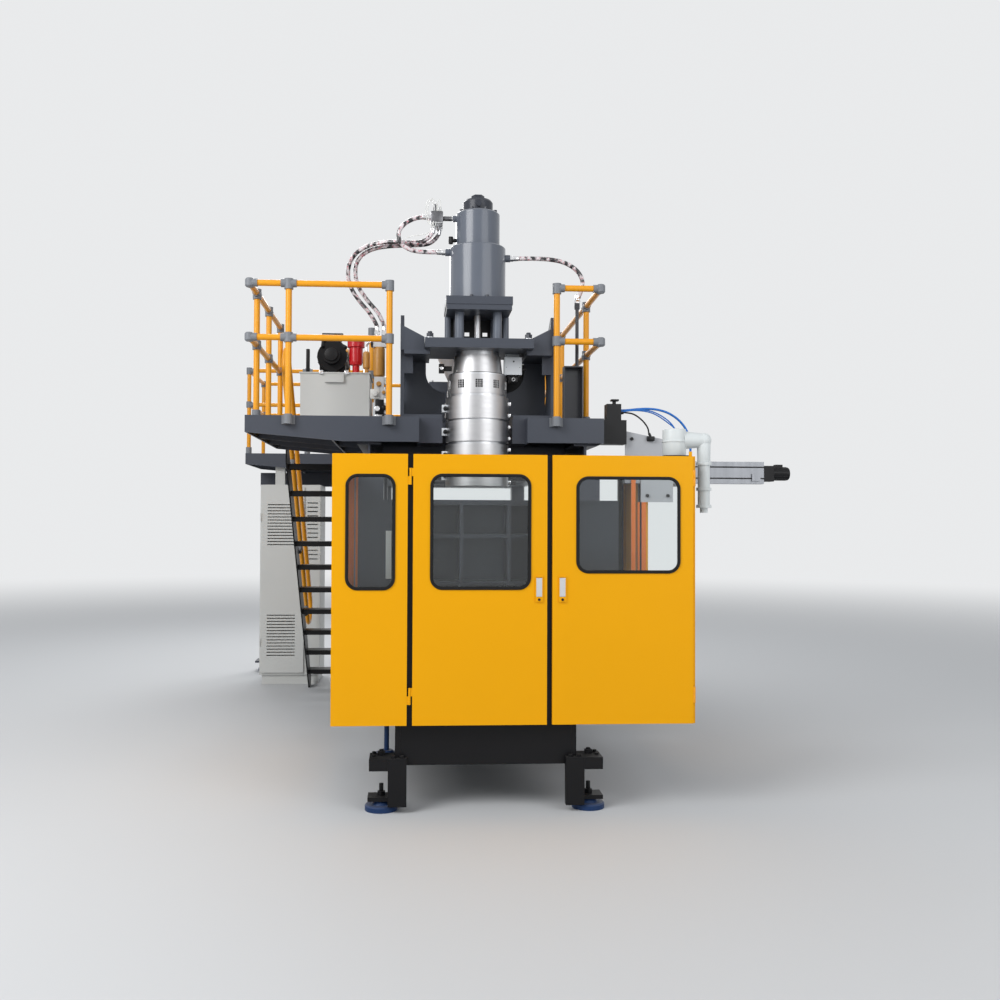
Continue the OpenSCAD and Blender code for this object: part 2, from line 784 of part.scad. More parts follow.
module heater_bands() {
  color(steel) place() {
    barrel_bands();
    for (b = band_z)
      difference() {
        rod_z(band_d, 0, 0, b[0], b[1]);
        rod_z(body_d + 0.2, 0, 0, b[0] - 1, b[1] + 1);
        block([body_d / 2 - 30, -4, b[0] - 1], [band_d / 2 + 1, 4, b[1] + 1]);
      }
    difference() {
      rod_z(ring_d, 0, 0, ring_z[0], ring_z[1]);
      rod_z(body_d + 0.2, 0, 0, ring_z[0] - 1, ring_z[1] + 1);
      for (i = [0 : vents - 1])
        rotate([0, 0, 18 + i * 360 / vents])
          block([body_d / 2 - 30, -24, ring_z[0] + 38], [ring_d / 2 + 5, 24, ring_z[0] + 94]);
    }
    difference() {
      translate([0, 0, neck_cover_z[0]])
        cylinder(d1 = 350, d2 = 322, h = neck_cover_z[1] - neck_cover_z[0], $fn = 64);
      rod_z(neck_d + 0.2, 0, 0, neck_cover_z[0] - 1, neck_cover_z[1] + 1);
      rod_y(adapter_d + 2, 0, extruder_z, 0, adapter_y + 1);
    }
  }
}

// Junction box on its bracket at the right of the head
box_x = [184, 304];
box_z = [2722, 2842];

module junction_box() {
  color([0.85, 0.85, 0.85]) place() {
    block([box_x[0], -60, box_z[0]], [box_x[1], 10, box_z[1]]);
    block([box_x[0] + 10, 10, box_z[1] - 20], [box_x[1] - 10, 14, shelf_top]);
  }
}

// Extruder along Y behind the head
barrel_front = 420;
barrel_rear = 3000;
feed_y = 2800;
throat_top = extruder_z + 160;

module extruder_barrel() {
  color(steel) place() difference() {
    union() {
      rod_y(adapter_d, 0, extruder_z, adapter_y, barrel_front + 1);
      rod_y(barrel_d + 60, 0, extruder_z, barrel_front, barrel_front + 50);
      rod_y(barrel_d, 0, extruder_z, barrel_front, barrel_rear);
      rod_y(barrel_d + 110, 0, extruder_z, barrel_rear - 40, barrel_rear);
      block([-110, feed_y - 100, extruder_z - 110], [110, feed_y + 100, throat_top]);
    }
    rod_y(screw_d / 2, 0, extruder_z, adapter_y - 1, barrel_front + 31);
    rod_y(screw_d + 2 * run_fit, 0, extruder_z, barrel_front + 30, barrel_rear + 1);
    rod_z(80, 0, feed_y, extruder_z, throat_top + 1);
  }
}

// Bands round the barrel, with their fan shrouds
module barrel_bands() {
  for (i = [0 : 5])
    difference() {
      rod_y(barrel_d + 50, 0, extruder_z, 500 + heater_shift(i), 500 + heater_shift(i) + 300);
      rod_y(barrel_d + 0.2, 0, extruder_z, 499 + heater_shift(i), 501 + heater_shift(i) + 300);
    }
}
function heater_shift(i) = i < 2 ? i * 330 : 820 + (i - 2) * 330;

screw_turns = 16;
turn_steps = 8;
flight_t = 14;
core_r = screw_d / 2 - 15;

// Core and flight drawn as one cross-section that turns along the barrel
module flight(length) {
  linear_extrude(length, twist = -360 * screw_turns, slices = screw_turns * turn_steps, $fn = 8) {
    circle(r = core_r, $fn = 8);
    translate([0, -flight_t / 2])
      square([sqrt(pow(screw_d / 2 - run_fit, 2) - pow(flight_t / 2, 2)), flight_t]);
  }
}

module screw() {
  color(steel) place()
    translate([0, barrel_front + 60, extruder_z]) rotate([-90, 0, 0])
      flight(barrel_rear - barrel_front - 60);
}

gearbox_top = 3090;
gearbox_rear = 3600;
gearbox_l = 600;
gearbox_half = 280;
gearbox_foot = 320;
gearbox_rib = 210;

module gearbox() {
  color(slate) place() difference() {
    union() {
      block([-gearbox_half, barrel_rear, deck_top + 40], [gearbox_half, gearbox_rear, gearbox_top]);
      block([-gearbox_foot, barrel_rear, deck_top], [gearbox_foot, gearbox_rear, deck_top + 40]);
      for (k = [-1 : 1]) {
        y = gearbox_rear - gearbox_l / 2 + k * gearbox_rib;
        block([-gearbox_foot + 10, y - 12, deck_top + 39], [gearbox_foot - 10, y + 12, gearbox_top - 60]);
      }
    }
    rod_y(screw_d, 0, extruder_z, barrel_rear - 1, barrel_rear + 100);
  }
}

motor_z = 2720;
motor_d = 440;
flange_d = 520;
motor_l = 660;
cowl_l = 140;
motor_foot = 460;
motor_box = 240;

module extruder_motor() {
  color(slate) place() {
    rod_y(motor_d, 0, motor_z, gearbox_rear + 60, gearbox_rear + 60 + motor_l);
    rod_y(flange_d, 0, motor_z, gearbox_rear, gearbox_rear + 61);
    rod_y(motor_d + 10, 0, motor_z, gearbox_rear + 59 + motor_l, gearbox_rear + 60 + motor_l + cowl_l);
    block([-230, gearbox_rear + 160, deck_top], [230, gearbox_rear + 160 + motor_foot, motor_z - 150]);
    block([-120, gearbox_rear + 220, motor_z + 180], [120, gearbox_rear + 220 + motor_box, motor_z + 310]);
  }
}

hopper_low = throat_top + 16;
cone_top = throat_top + 320;
hopper_top = cone_top + 100;
hopper_wall = 4;
cone_r = 60;
lid_pin_y = feed_y + hopper_r + 12;

// Ring flange, cone and round top of the hopper are each turned round its axis
module turned(outline) {
  translate([0, feed_y, 0]) rotate_extrude($fn = 40) polygon(outline);
}

module hopper() {
  color(steel) place() {
    turned([[41, throat_top], [105, throat_top], [105, hopper_low], [41, hopper_low]]);
    turned([[cone_r - hopper_wall - 1, hopper_low + seam], [cone_r, hopper_low + seam],
      [hopper_r, cone_top], [hopper_r - hopper_wall - 1, cone_top]]);
    turned([[hopper_r - hopper_wall, cone_top + seam], [hopper_r, cone_top + seam],
      [hopper_r, hopper_top], [hopper_r - hopper_wall, hopper_top]]);
    for (x = [-1, 1])
      block([x * 60 - 10, feed_y + hopper_r - 6, hopper_top - 40], [x * 60 + 10, lid_pin_y + 6, hopper_top - 16]);
    rod_x(8, lid_pin_y, hopper_top - 8, -72, 72);
    for (x = [-1, 1])
      block([x * 60 - 10, lid_pin_y - 6, hopper_top - 20], [x * 60 + 10, lid_pin_y + 6, hopper_top - 2]);
  }
}

module hopper_lid() {
  color(steel) place() difference() {
    union() {
      translate([0, feed_y, hopper_top]) cylinder(r = hopper_r, h = 6, $fn = 64);
      rod_x(16, lid_pin_y, hopper_top - 8, -48, 48);
      block([-40, feed_y + hopper_r - 8, hopper_top], [40, lid_pin_y + 4, hopper_top + 6]);
    }
    rod_x(8 + 2 * run_fit, lid_pin_y, hopper_top - 8, -49, 49);
  }
}

// Power unit on the left deck
tank_x = [-1260, -760];
tank_y = [400, 900];
tank_top = 2790;
pump_x = -1041;
pump_z = 2926;
filter_at = [-863, 480];
cell_at = [-690, 400];
cell_z = [2757, 2976];
small_cell_at = [-784, 430];

module oil_tank() {
  color(pale) place() {
    block([tank_x[0], tank_y[0], deck_top], [tank_x[1], tank_y[1], tank_top - 8]);
    block([tank_x[0] - 8, tank_y[0] - 8, tank_top - 8], [tank_x[1] + 8, tank_y[1] + 8, tank_top]);
    block([-1080, tank_y[0] - 20, tank_top - 75], [-945, tank_y[0], tank_top - 14]);
  }
}

module pump_motor() {
  color(black) place() {
    rod_y(220, pump_x, pump_z, 520, 800);
    rod_y(228, pump_x, pump_z, 799, 850);
    rod_y(130, pump_x, pump_z, 440, 521);
    for (y = [560, 720], x = [-70, 70])
      block([pump_x + x - 25, y, tank_top], [pump_x + x + 25, y + 60, pump_z - 60]);
    block([pump_x - 70, 560, pump_z + 100], [pump_x + 60, 680, pump_z + 145]);
  }
}

module oil_filter() {
  color([0.72, 0.07, 0.10]) place() translate([filter_at[0], filter_at[1], tank_top])
    rotate_extrude()
      polygon([[0, 0], [26, 0], [26, 60], [44, 66], [50, 90], [50, 190], [63, 196],
        [63, 240], [56, 246], [0, 246]]);
}

module accumulators() {
  color([0.75, 0.55, 0.24]) place() {
    translate([cell_at[0], cell_at[1], cell_z[0]]) rotate_extrude()
      polygon([[0, 0], [30, 0], [42, 14], [42, 205], [34, 219], [0, 219]]);
    translate([small_cell_at[0], small_cell_at[1], tank_top]) rotate_extrude()
      polygon([[0, 0], [16, 0], [16, 30], [25, 40], [25, 150], [14, 160], [0, 160]]);
  }
}

hose_d = 30;
union_top = 3070;
union_a = [-705, 400];
union_b = [-655, 400];
cluster_x = [-325, -245];

module valve_blocks() {
  color(steel) place() {
    block([-735, 350, deck_top], [-625, 455, deck_top + 150]);
    block([-725, 365, deck_top + 150], [-655, 435, cell_z[0]]);
    block([-655, 375, deck_top + 190], [-610, 425, deck_top + 250]);
    block([-735, 370, cell_z[1]], [-625, 430, cell_z[1] + 60]);
    for (p = [union_a, union_b])
      rod_z(34, p[0], p[1], cell_z[1] + 59, union_top);
    block([cluster_x[0], -40, top_port_z - 40], [cluster_x[1], 90, top_port_z + 40]);
    rod_x(30, 0, top_port_z, cluster_x[1] - 1, -175);
    rod_z(26, cluster_x[0] + 30, 0, top_port_z + 39, top_port_z + 95);
    block([cluster_x[0] + 50, -20, top_port_z + 39], [cluster_x[1] - 8, 20, top_port_z + 75]);
  }
}

// Hoses: tubes swept along routes chosen by hand, in machine coordinates
hose_a_route = [[-705, 400, 3070], [-708, 400, 3130], [-760, 385, 3220], [-840, 350, 3310],
  [-895, 315, 3395], [-912, 280, 3470], [-900, 240, 3545], [-860, 200, 3600],
  [-802, 160, 3634], [-735, 125, 3653], [-660, 92, 3660], [-582, 64, 3658],
  [-505, 44, 3652], [-427, 30, 3648], [-380, 26, 3657], [-341, 24, 3684],
  [-314, 24, 3723], [-305, 24, 3770]];
hose_b_route = [[-655, 400, 3070], [-656, 400, 3130], [-700, 390, 3225], [-780, 360, 3315],
  [-840, 325, 3400], [-860, 290, 3475], [-852, 252, 3545], [-816, 216, 3594],
  [-762, 183, 3624], [-695, 153, 3639], [-620, 127, 3644], [-543, 105, 3644],
  [-465, 86, 3643], [-387, 74, 3645], [-339, 70, 3654], [-299, 68, 3681],
  [-271, 68, 3722], [-262, 68, 3770]];
hose_c_route = [[225, 0, 3540], [300, 0, 3542], [400, 0, 3544], [500, 0, 3540],
  [585, 0, 3526], [655, 0, 3496], [708, 0, 3450], [733, 0, 3395],
  [730, 0, 3340], [712, 0, 3290], [699, 0, 3255], [697, 0, 3235]];
loop_route = [[-325, 0, 3815], [-372, 0, 3818], [-425, 0, 3810], [-478, 0, 3788],
  [-522, 0, 3753], [-547, 0, 3708], [-545, 0, 3660], [-518, 0, 3619],
  [-474, 0, 3592], [-420, 0, 3579], [-355, 0, 3575], [-290, 0, 3575], [-225, 0, 3575]];
air_route = [[1000, 0, 2490], [1050, 0, 2492], [1120, 5, 2500], [1200, 12, 2505],
  [1280, 18, 2498], [1355, 24, 2475], [1425, 30, 2430], [1475, 32, 2370],
  [1502, 32, 2300], [1510, 32, 2230], [1510, 32, 2167]];
tube_d = 16;

function unit(v) = v / norm(v);
function route_dir(r, i) = unit(r[min(i + 1, len(r) - 1)] - r[max(i - 1, 0)]);
function side_of(d) = unit(cross(abs(d[1]) < 0.8 ? [0, 1, 0] : [1, 0, 0], d));

module swept(route, d, end_a, end_b, sides = 10) {
  n = len(route);
  rings = [for (i = [0 : n - 1])
    let (t = i == 0 ? end_a : i == n - 1 ? end_b : route_dir(route, i),
      u = side_of(t), v = cross(t, u))
    [for (k = [0 : sides - 1])
      route[i] + d / 2 * (cos(360 * k / sides) * u + sin(360 * k / sides) * v)]];
  polyhedron([for (r = rings, p = r) p],
    concat([[for (k = [0 : sides - 1]) k]],
      [[for (k = [sides - 1 : -1 : 0]) (n - 1) * sides + k]],
      [for (i = [0 : n - 2], k = [0 : sides - 1])
        [i * sides + k, (i + 1) * sides + k, (i + 1) * sides + (k + 1) % sides,
          i * sides + (k + 1) % sides]]));
}

module hose_a() {
  color(black) place() swept(hose_a_route, hose_d, [0, 0, 1], [0, 0, 1]);
}
module hose_b() {
  color(black) place() swept(hose_b_route, hose_d, [0, 0, 1], [0, 0, 1]);
}
module hose_c() {
  color(black) place() swept(hose_c_route, hose_d, [1, 0, 0], [0, 0, -1]);
}
module loop_hose() {
  color(black) place() swept(loop_route, hose_d, [-1, 0, 0], [1, 0, 0]);
}
module air_tube() {
  color([0.12, 0.35, 0.75]) place() swept(air_route, tube_d, [1, 0, 0], [0, 0, -1], 8);
}

// Folded channel with the rigid pipe of the right hose
channel_x = [602, 733];
channel_top = 2790;
pipe_at = [697, 0];
pipe_top = 3235;

module pipe_column() {
  color(slate) place() {
    difference() {
      block([channel_x[0], -45, deck_top], [channel_x[1], 45, channel_top]);
      block([channel_x[0] + 6, -46, deck_top + 8], [channel_x[1] - 6, 39, channel_top - 8]);
    }
    rod_z(24, pipe_at[0], pipe_at[1], channel_top - 1, pipe_top - 40);
    rod_z(38, pipe_at[0], pipe_at[1], pipe_top - 41, pipe_top);
  }
}

// Guard: tube frame, folded sheet panels, windows, hinges and paddle locks
window_inset = 12;
left_win = [-688.5, 1647.5, 291, window_h - 1];
centre_win = [-43.5, 1651, 594, window_h];
right_win = [832, 1694.5, 623, 573];
side_win = [176, 1648, 560, window_h];
slot_win = [823, 1648, 210, window_h];
pane_lap = 14;
pane_t = 5;
hinge_z = [643, 1926];
hinge_d = 14;
hinge_pin_d = 8;
hinge_h = 97;
lock_w = 45;
lock_h = 153;
lock_z = 1240;
centre_lock_x = 301;
right_lock_x = 439;
paddle_w = 34;
paddle_pin_z = lock_z + 139;
paddle_y = 6;
lock_proud = 8;
front_y = -guard_front;
frame_y = front_y + fold + 3;
frame_low = guard_bottom + 5;
frame_top = guard_top - 5;
side_fold = 22;
lf = -guard_left + side_fold + 3;
rf = guard_right - side_fold - 3;
side_gap_y = [-610, 258];
right_panel_y = 170;

module window(win, lap) {
  translate([win[0], win[1]])
    rounded(win[2] - 2 * window_inset + 2 * lap, win[3] - 2 * window_inset + 2 * lap,
      window_r - window_inset + lap);
}

// Folded panel whose front face lies in the plane Y = 0
module panel(x0, w, depth, wins = []) {
  difference() {
    block([x0, 0, guard_bottom], [x0 + w, depth, guard_top]);
    block([x0 + sheet, sheet, guard_bottom + sheet], [x0 + w - sheet, depth + 1, guard_top - sheet]);
    for (win = wins)
      plate_y(-1, sheet + 1) window(win, 0);
  }
}

module pane(wins) {
  for (win = wins)
    plate_y(sheet, sheet + pane_t) window(win, pane_lap);
}

module at_front() {
  translate([0, front_y, 0]) children();
}
module at_left() {
  translate([-guard_left, 0, 0]) rotate([0, 0, -90]) children();
}
module at_right() {
  translate([guard_right, 0, 0]) rotate([0, 0, 90]) children();
}

// Hinge halves: the leaf reaches from the pin to the edge at x = edge
module hinge_lower(x, y, edge) {
  for (z = hinge_z) {
    rod_z(hinge_d, x, y, z, z + hinge_h / 2);
    rod_z(hinge_pin_d, x, y, z, z + hinge_h);
    block([min(x, edge), y - 2, z], [max(x, edge), y + 2, z + hinge_h / 2]);
  }
}
module hinge_upper(x, y, edge) {
  for (z = hinge_z) {
    rod_z(hinge_d, x, y, z + hinge_h / 2 + seam, z + hinge_h);
    block([min(x, edge), y - 2, z + hinge_h / 2 + seam], [max(x, edge), y + 2, z + hinge_h]);
  }
}
module hinge_bore(x, y) {
  for (z = hinge_z)
    rod_z(hinge_pin_d + 2 * run_fit, x, y, z + hinge_h / 2, z + hinge_h + 1);
}

// Paddle lock: a shallow dish on the door, and the paddle that turns in it
module lock_dish(x) {
  difference() {
    block([x - lock_w / 2, -lock_proud, lock_z], [x + lock_w / 2, 0, lock_z + lock_h]);
    block([x - paddle_w / 2 - 0.4, -lock_proud - 1, lock_z + 30],
      [x + paddle_w / 2 + 0.4, -1, lock_z + lock_h - 8]);
    rod_x(4 + 2 * run_fit, -paddle_y, paddle_pin_z, x - lock_w / 2 + 1.5, x + lock_w / 2 - 1.5);
  }
  rod_y(20, x, lock_z + 15, -lock_proud - 3, -lock_proud + 1);
}

module paddle(x) {
  translate([0, front_y, 0]) {
    rod_x(4, -paddle_y, paddle_pin_z, x - lock_w / 2 + 2, x + lock_w / 2 - 2);
    rod_x(6, -paddle_y, paddle_pin_z, x - paddle_w / 2, x + paddle_w / 2);
    block([x - paddle_w / 2, -paddle_y - 2.5, lock_z + 32], [x + paddle_w / 2, -paddle_y + 2, paddle_pin_z]);
  }
}

module bar_up(x, y) {
  block([x, y, frame_low], [x + guard_tube, y + guard_tube, frame_top]);
}
module bar_along_x(x0, x1, y, z) {
  block([x0 + seam, y, z], [x1 - seam, y + guard_tube, z + guard_tube]);
}
module bar_along_y(x, y0, y1, z) {
  block([x, y0 + seam, z], [x + guard_tube, y1 - seam, z + guard_tube]);
}

frame_high = frame_top - guard_tube;
left_post_y = [frame_y, side_gap_y[0] - guard_tube / 2, side_gap_y[1] - guard_tube / 2,
  guard_rear - guard_tube];
right_post_y = [frame_y, right_panel_y - guard_tube / 2, guard_rear - guard_tube];
front_post_x = [lf, door_gap_x - guard_tube / 2, mid_gap_x - guard_tube / 2, rf - guard_tube];
arm_pin = [1146, -900];
arm_plate_t = 12;

module guard_frame() {
  color(black) place() {
    for (y = left_post_y)
      bar_up(lf, y);
    for (y = right_post_y)
      bar_up(rf - guard_tube, y);
    for (i = [1, 2])
      bar_up(front_post_x[i], frame_y);
    for (z = [frame_low, frame_high]) {
      for (i = [0 : 2])
        bar_along_x(front_post_x[i] + guard_tube, front_post_x[i + 1], frame_y, z);
      for (i = [0 : 2])
        bar_along_y(lf, left_post_y[i] + guard_tube, left_post_y[i + 1], z);
    }
    bar_along_x(lf + guard_tube, rf - guard_tube, guard_rear - guard_tube, beam_low - guard_tube - seam);
    bar_along_x(lf + guard_tube, -base_half, guard_rear - guard_tube, frame_low);
    bar_along_x(base_half, rf - guard_tube, guard_rear - guard_tube, frame_low);
    bar_along_y(rf - guard_tube, right_post_y[0] + guard_tube, right_post_y[1], frame_low);
    for (z = [frame_low, frame_high])
      bar_along_y(rf - guard_tube, right_post_y[1] + guard_tube, right_post_y[2], z);
    block([arm_pin[0] - 86, frame_y, frame_top + seam],
      [rf, arm_pin[1] + 70, frame_top + arm_plate_t]);
    rod_z(30, arm_pin[0], arm_pin[1], frame_top + arm_plate_t - 1, frame_top + 70);
  }
}

strip_x = right_x + right_door_w + 2;

module fixed_panels() {
  color(yellow) place() {
    at_front() {
      panel(-guard_left, fixed_panel_w, fold + 3, [left_win]);
      hinge_lower(door_gap_x, pin_y - front_y, door_gap_x - panel_gap / 2 - 1);
      block([strip_x, 12, guard_bottom], [guard_right, 12 + sheet, guard_top]);
      block([guard_right - sheet, 12, guard_bottom], [guard_right, fold + 3, guard_top]);
      block([rf - 20, fold + 3 - sheet, guard_bottom], [guard_right, fold + 3, guard_top]);
      for (z = hinge_z)
        block([right_pin_x - 2, pin_y - front_y, z], [right_pin_x + 2, 13, z + hinge_h / 2]);
      hinge_lower(right_pin_x, pin_y - front_y, right_pin_x + 2);
    }
    at_left() {
      panel(-side_gap_y[0] + panel_gap / 2, guard_front - fold - 3 + side_gap_y[0] - panel_gap / 2 - 1,
        side_fold + 3, [slot_win]);
      panel(-guard_rear, guard_rear - side_gap_y[1] - panel_gap / 4, side_fold + 3);
      hinge_lower(-side_pin_y, side_pin_x + guard_left, -side_pin_y - 9);
    }
    at_right()
      panel(right_panel_y - 20, guard_rear - right_panel_y + 20, side_fold + 3);
  }
}

module centre_door() {
  color(yellow) place() at_front() difference() {
    union() {
      panel(centre_x, centre_door_w, fold, [centre_win]);
      hinge_upper(door_gap_x, pin_y - front_y, centre_x + 1);
      lock_dish(centre_lock_x);
    }
    hinge_bore(door_gap_x, pin_y - front_y);
  }
}

module right_door() {
  color(yellow) place() at_front() difference() {
    union() {
      panel(right_x, right_door_w, fold, [right_win]);
      hinge_upper(right_pin_x, pin_y - front_y, right_x + right_door_w - 1);
      lock_dish(right_lock_x);
    }
    hinge_bore(right_pin_x, pin_y - front_y);
  }
}

module side_door() {
  color(yellow) place() at_left() difference() {
    union() {
      panel(-side_door_y - side_door_w, side_door_w, side_fold, [side_win]);
      hinge_upper(-side_pin_y, side_pin_x + guard_left, -side_door_y - side_door_w + 1);
      block([-side_door_y - 60, -14, 1250], [-side_door_y - 28, 0, 1400]);
    }
    hinge_bore(-side_pin_y, side_pin_x + guard_left);
  }
}

glazing = [0.62, 0.68, 0.72, 0.35];

module fixed_panes() {
  color(glazing) place() {
    at_front() pane([left_win]);
    at_left() pane([slot_win]);
  }
}
module centre_pane() {
  color(glazing) place() at_front() pane([centre_win]);
}
module right_pane() {
  color(glazing) place() at_front() pane([right_win]);
}
module side_pane() {
  color(glazing) place() at_left() pane([side_win]);
}
module centre_paddle() {
  color(steel) place() paddle(centre_lock_x);
}
module right_paddle() {
  color(steel) place() paddle(right_lock_x);
}

// Clamp: two ribbed platens, tie bars and a rear yoke with the clamp cylinder
platen_low = 700;
platen_top = platen_low + platen_h;
face_t = 60;
rib_x = [-435, -145, 145, 435];
rib_z = [1050, 1336, 1622];
rib_t = 24;
bolt_x = 290;
bolt_z = [1193, 1479];
bolt_hole = 22;
edge_t = 30;
tie_z = [850, 1700];
tie_front = -daylight / 2 - 180;
yoke_y = [1250, 1400];
yoke_half = 690;
yoke_z = [760, 1790];
nut_d = 130;
rod_d = 90;
rod_z0 = 1270;
cyl_bore = 140;
cyl_out = 190;
cyl_rear = 2340;

// Ribbed platen with its face at y = 0 and its ribs towards negative Y
module platen() {
  xs = concat([-rib_x[3] - rib_t / 2], rib_x, [rib_x[3] + rib_t / 2]);
  zs = concat([platen_low + edge_t - rib_t / 2], rib_z, [platen_top - edge_t + rib_t / 2]);
  difference() {
    block([-platen_w / 2, -platen_t, platen_low], [platen_w / 2, 0, platen_top]);
    for (i = [0 : 2], k = [0 : 3])
      block([rib_x[i] + rib_t / 2, -platen_t - 1, zs[k] + rib_t / 2],
        [rib_x[i + 1] - rib_t / 2, -face_t, zs[k + 1] - rib_t / 2]);
    for (x = [-1, 1], z = bolt_z)
      rod_y(bolt_hole, x * bolt_x, z, -face_t - 1, 1);
  }
  for (x = [-rail_x, rail_x])
    shoe(x, -platen_t, -20, platen_low);
}

// Guide shoe that sits on a base rail between y0 and y1
module shoe(x, y0, y1, top) {
  block([x - 60, y0, base_top + rail_t], [x + 60, y1, top]);
  for (s = [-1, 1])
    block([min(x + s * 30.3, x + s * 60), y0, base_top + 5],
      [max(x + s * 30.3, x + s * 60), y1, base_top + rail_t + 1]);
}

module front_platen() {
  color(slate) place() difference() {
    translate([0, -daylight / 2, 0]) platen();
    for (x = [-tie_x, tie_x], z = tie_z)
      rod_y(tie_d, x, z, tie_front, 0);
  }
}

module rear_platen() {
  color(slate) place() {
    difference() {
      translate([0, daylight / 2, 0]) mirror([0, 1, 0]) platen();
      for (x = [-tie_x, tie_x], z = tie_z)
        rod_y(tie_d + 2 * run_fit, x, z, daylight / 2 - 1, daylight / 2 + platen_t + 1);
    }
    rod_y(rod_d + 60, 0, rod_z0, daylight / 2 + face_t - 1, daylight / 2 + platen_t + 20);
    rod_y(rod_d, 0, rod_z0, daylight / 2 + platen_t, cyl_rear - 50);
    rod_y(cyl_bore - 2 * run_fit, 0, rod_z0, cyl_rear - 110, cyl_rear - 50);
  }
}

module tie_bars() {
  color(steel) place()
    for (x = [-tie_x, tie_x], z = tie_z) {
      rod_y(tie_d, x, z, tie_front, yoke_y[1]);
      rod_y(nut_d, x, z, yoke_y[1], yoke_y[1] + 50);
    }
}

module clamp_yoke() {
  color(slate) place() difference() {
    union() {
      block([-yoke_half, yoke_y[0], yoke_z[0]], [yoke_half, yoke_y[1], yoke_z[1]]);
      for (x = [-rail_x, rail_x])
        shoe(x, yoke_y[0], yoke_y[1], yoke_z[0] + 1);
    }
    for (x = [-tie_x, tie_x], z = tie_z)
      rod_y(tie_d, x, z, yoke_y[0] - 1, yoke_y[1] + 1);
    rod_y(rod_d + 2 * run_fit, 0, rod_z0, yoke_y[0] - 1, yoke_y[1] + 1);
    for (x = [-1, 1])
      block([x * 300 - 160, yoke_y[0] + 40, 960], [x * 300 + 160, yoke_y[1] + 1, 1120]);
  }
}

module clamp_cylinder() {
  color(slate) place() difference() {
    union() {
      rod_y(cyl_out, 0, rod_z0, yoke_y[1], cyl_rear);
      rod_y(cyl_out + 80, 0, rod_z0, yoke_y[1], yoke_y[1] + 40);
      rod_y(cyl_out + 30, 0, rod_z0, cyl_rear - 40, cyl_rear);
    }
    rod_y(cyl_bore, 0, rod_z0, yoke_y[1] - 1, cyl_rear - 40);
  }
}

module blow_pin() {
  color(steel) place() {
    rod_z(pin_bore, 0, 0, pin_low, 930);
    rod_z(pin_bore + 40, 0, 0, post_top, post_top + 30);
    translate([0, 0, 929]) cylinder(d1 = 44, d2 = 26, h = 80);
  }
}

// Take-out unit at the right, and the upright guide bars
plate_y0 = -20;
plate_y1 = -8;
plate_x1 = 1372;
left_bar_y = -862;
plate_low = 1850;
plate_step = [1145, 2100];
bar_x = [1078, 1152];
bar_w = 30;
bar_low = 1200;
drive_z = [2000, 2110];
rail_end = 2025;
rail_low = 1982;
rail_depth = 80;
motor_end = 2206;
carriage_x = [1400, 1520];
grip_z = 1300;

module takeout_plate() {
  color(pale) place() plate_y(plate_y0, plate_y1) difference() {
    polygon([[bracket_end, plate_step[1]], [bracket_end, 2344], [1300, 2290], [plate_x1, 2240],
      [plate_x1, plate_low], [plate_step[0], plate_low], plate_step]);
    for (p = [[1080, 2150], [1080, 2290], [1190, 1895], [1335, 1895]])
      translate(p) circle(d = 14);
  }
}

module takeout_rail() {
  color([0.78, 0.79, 0.80]) place() {
    plate_x(bracket_end, rail_end) difference() {
      translate([plate_y1, rail_low]) square([rail_depth, 155]);
      for (z = [rail_low + 38, rail_low + 117]) {
        translate([plate_y1 - 1, z - 5]) square([13, 10]);
        translate([plate_y1 + 8, z - 12]) square([10, 24]);
        translate([plate_y1 + rail_depth - 12, z - 5]) square([13, 10]);
        translate([plate_y1 + rail_depth - 18, z - 12]) square([10, 24]);
      }
      translate([plate_y1 + rail_depth / 2 - 14, rail_low + 50]) square([28, 55]);
    }
    block([1495, 17, rail_low + 155], [1525, 47, air_route[10][2]]);
    block([rail_end - 90, plate_y1 - 12, rail_low + 20], [rail_end - 30, plate_y1, rail_low + 70]);
  }
}

module takeout_motor() {
  color(black) place() {
    block([rail_end, -12, drive_z[0]], [rail_end + 70, 78, drive_z[1]]);
    rod_x(92, 33, 2056, rail_end + 69, motor_end);
    block([rail_end + 90, 10, drive_z[1] - 20], [rail_end + 140, 56, drive_z[1] + 10]);
  }
}

module takeout_carriage() {
  color(steel) place() {
    back = plate_y1 + rail_depth + 0.3;
    block([carriage_x[0], back, rail_low - 20], [carriage_x[1], back + 24, rail_low + 150]);
    block([1440, back + 4, grip_z], [1480, back + 24, rail_low]);
    block([930, back + 4, grip_z], [1481, back + 24, grip_z + 40]);
    for (z = [grip_z - 60, grip_z + 70])
      block([900, back - 26, z], [960, back + 24, z + 30]);
    block([930, back + 4, grip_z - 60], [955, back + 24, grip_z + 100]);
  }
}

module guide_bars() {
  color([0.80, 0.40, 0.12]) place() {
    for (i = [0, 1])
      block([bar_x[i], plate_y0, bar_low], [bar_x[i] + bar_w, plate_y1, i ? plate_low : plate_step[1]]);
    block([bar_x[0], plate_y0, bar_low - 30], [bar_x[1] + bar_w, plate_y1, bar_low]);
    rod_z(16, bar_x[1] - 22, (plate_y0 + plate_y1) / 2, bar_low, plate_low);
    block([lf + guard_tube + seam, left_bar_y, bar_low], [-806, left_bar_y + 12, frame_top - 5]);
  }
}

// Swivel arm that would carry the control panel
arm_low = 1800;
arm_rings = [arm_low, arm_low + 105, arm_low + 260];
arm_d = 73;
arm_z = 2212;
arm_x = 1329;
drum_low = frame_top + arm_plate_t;
drum_top = 2273;

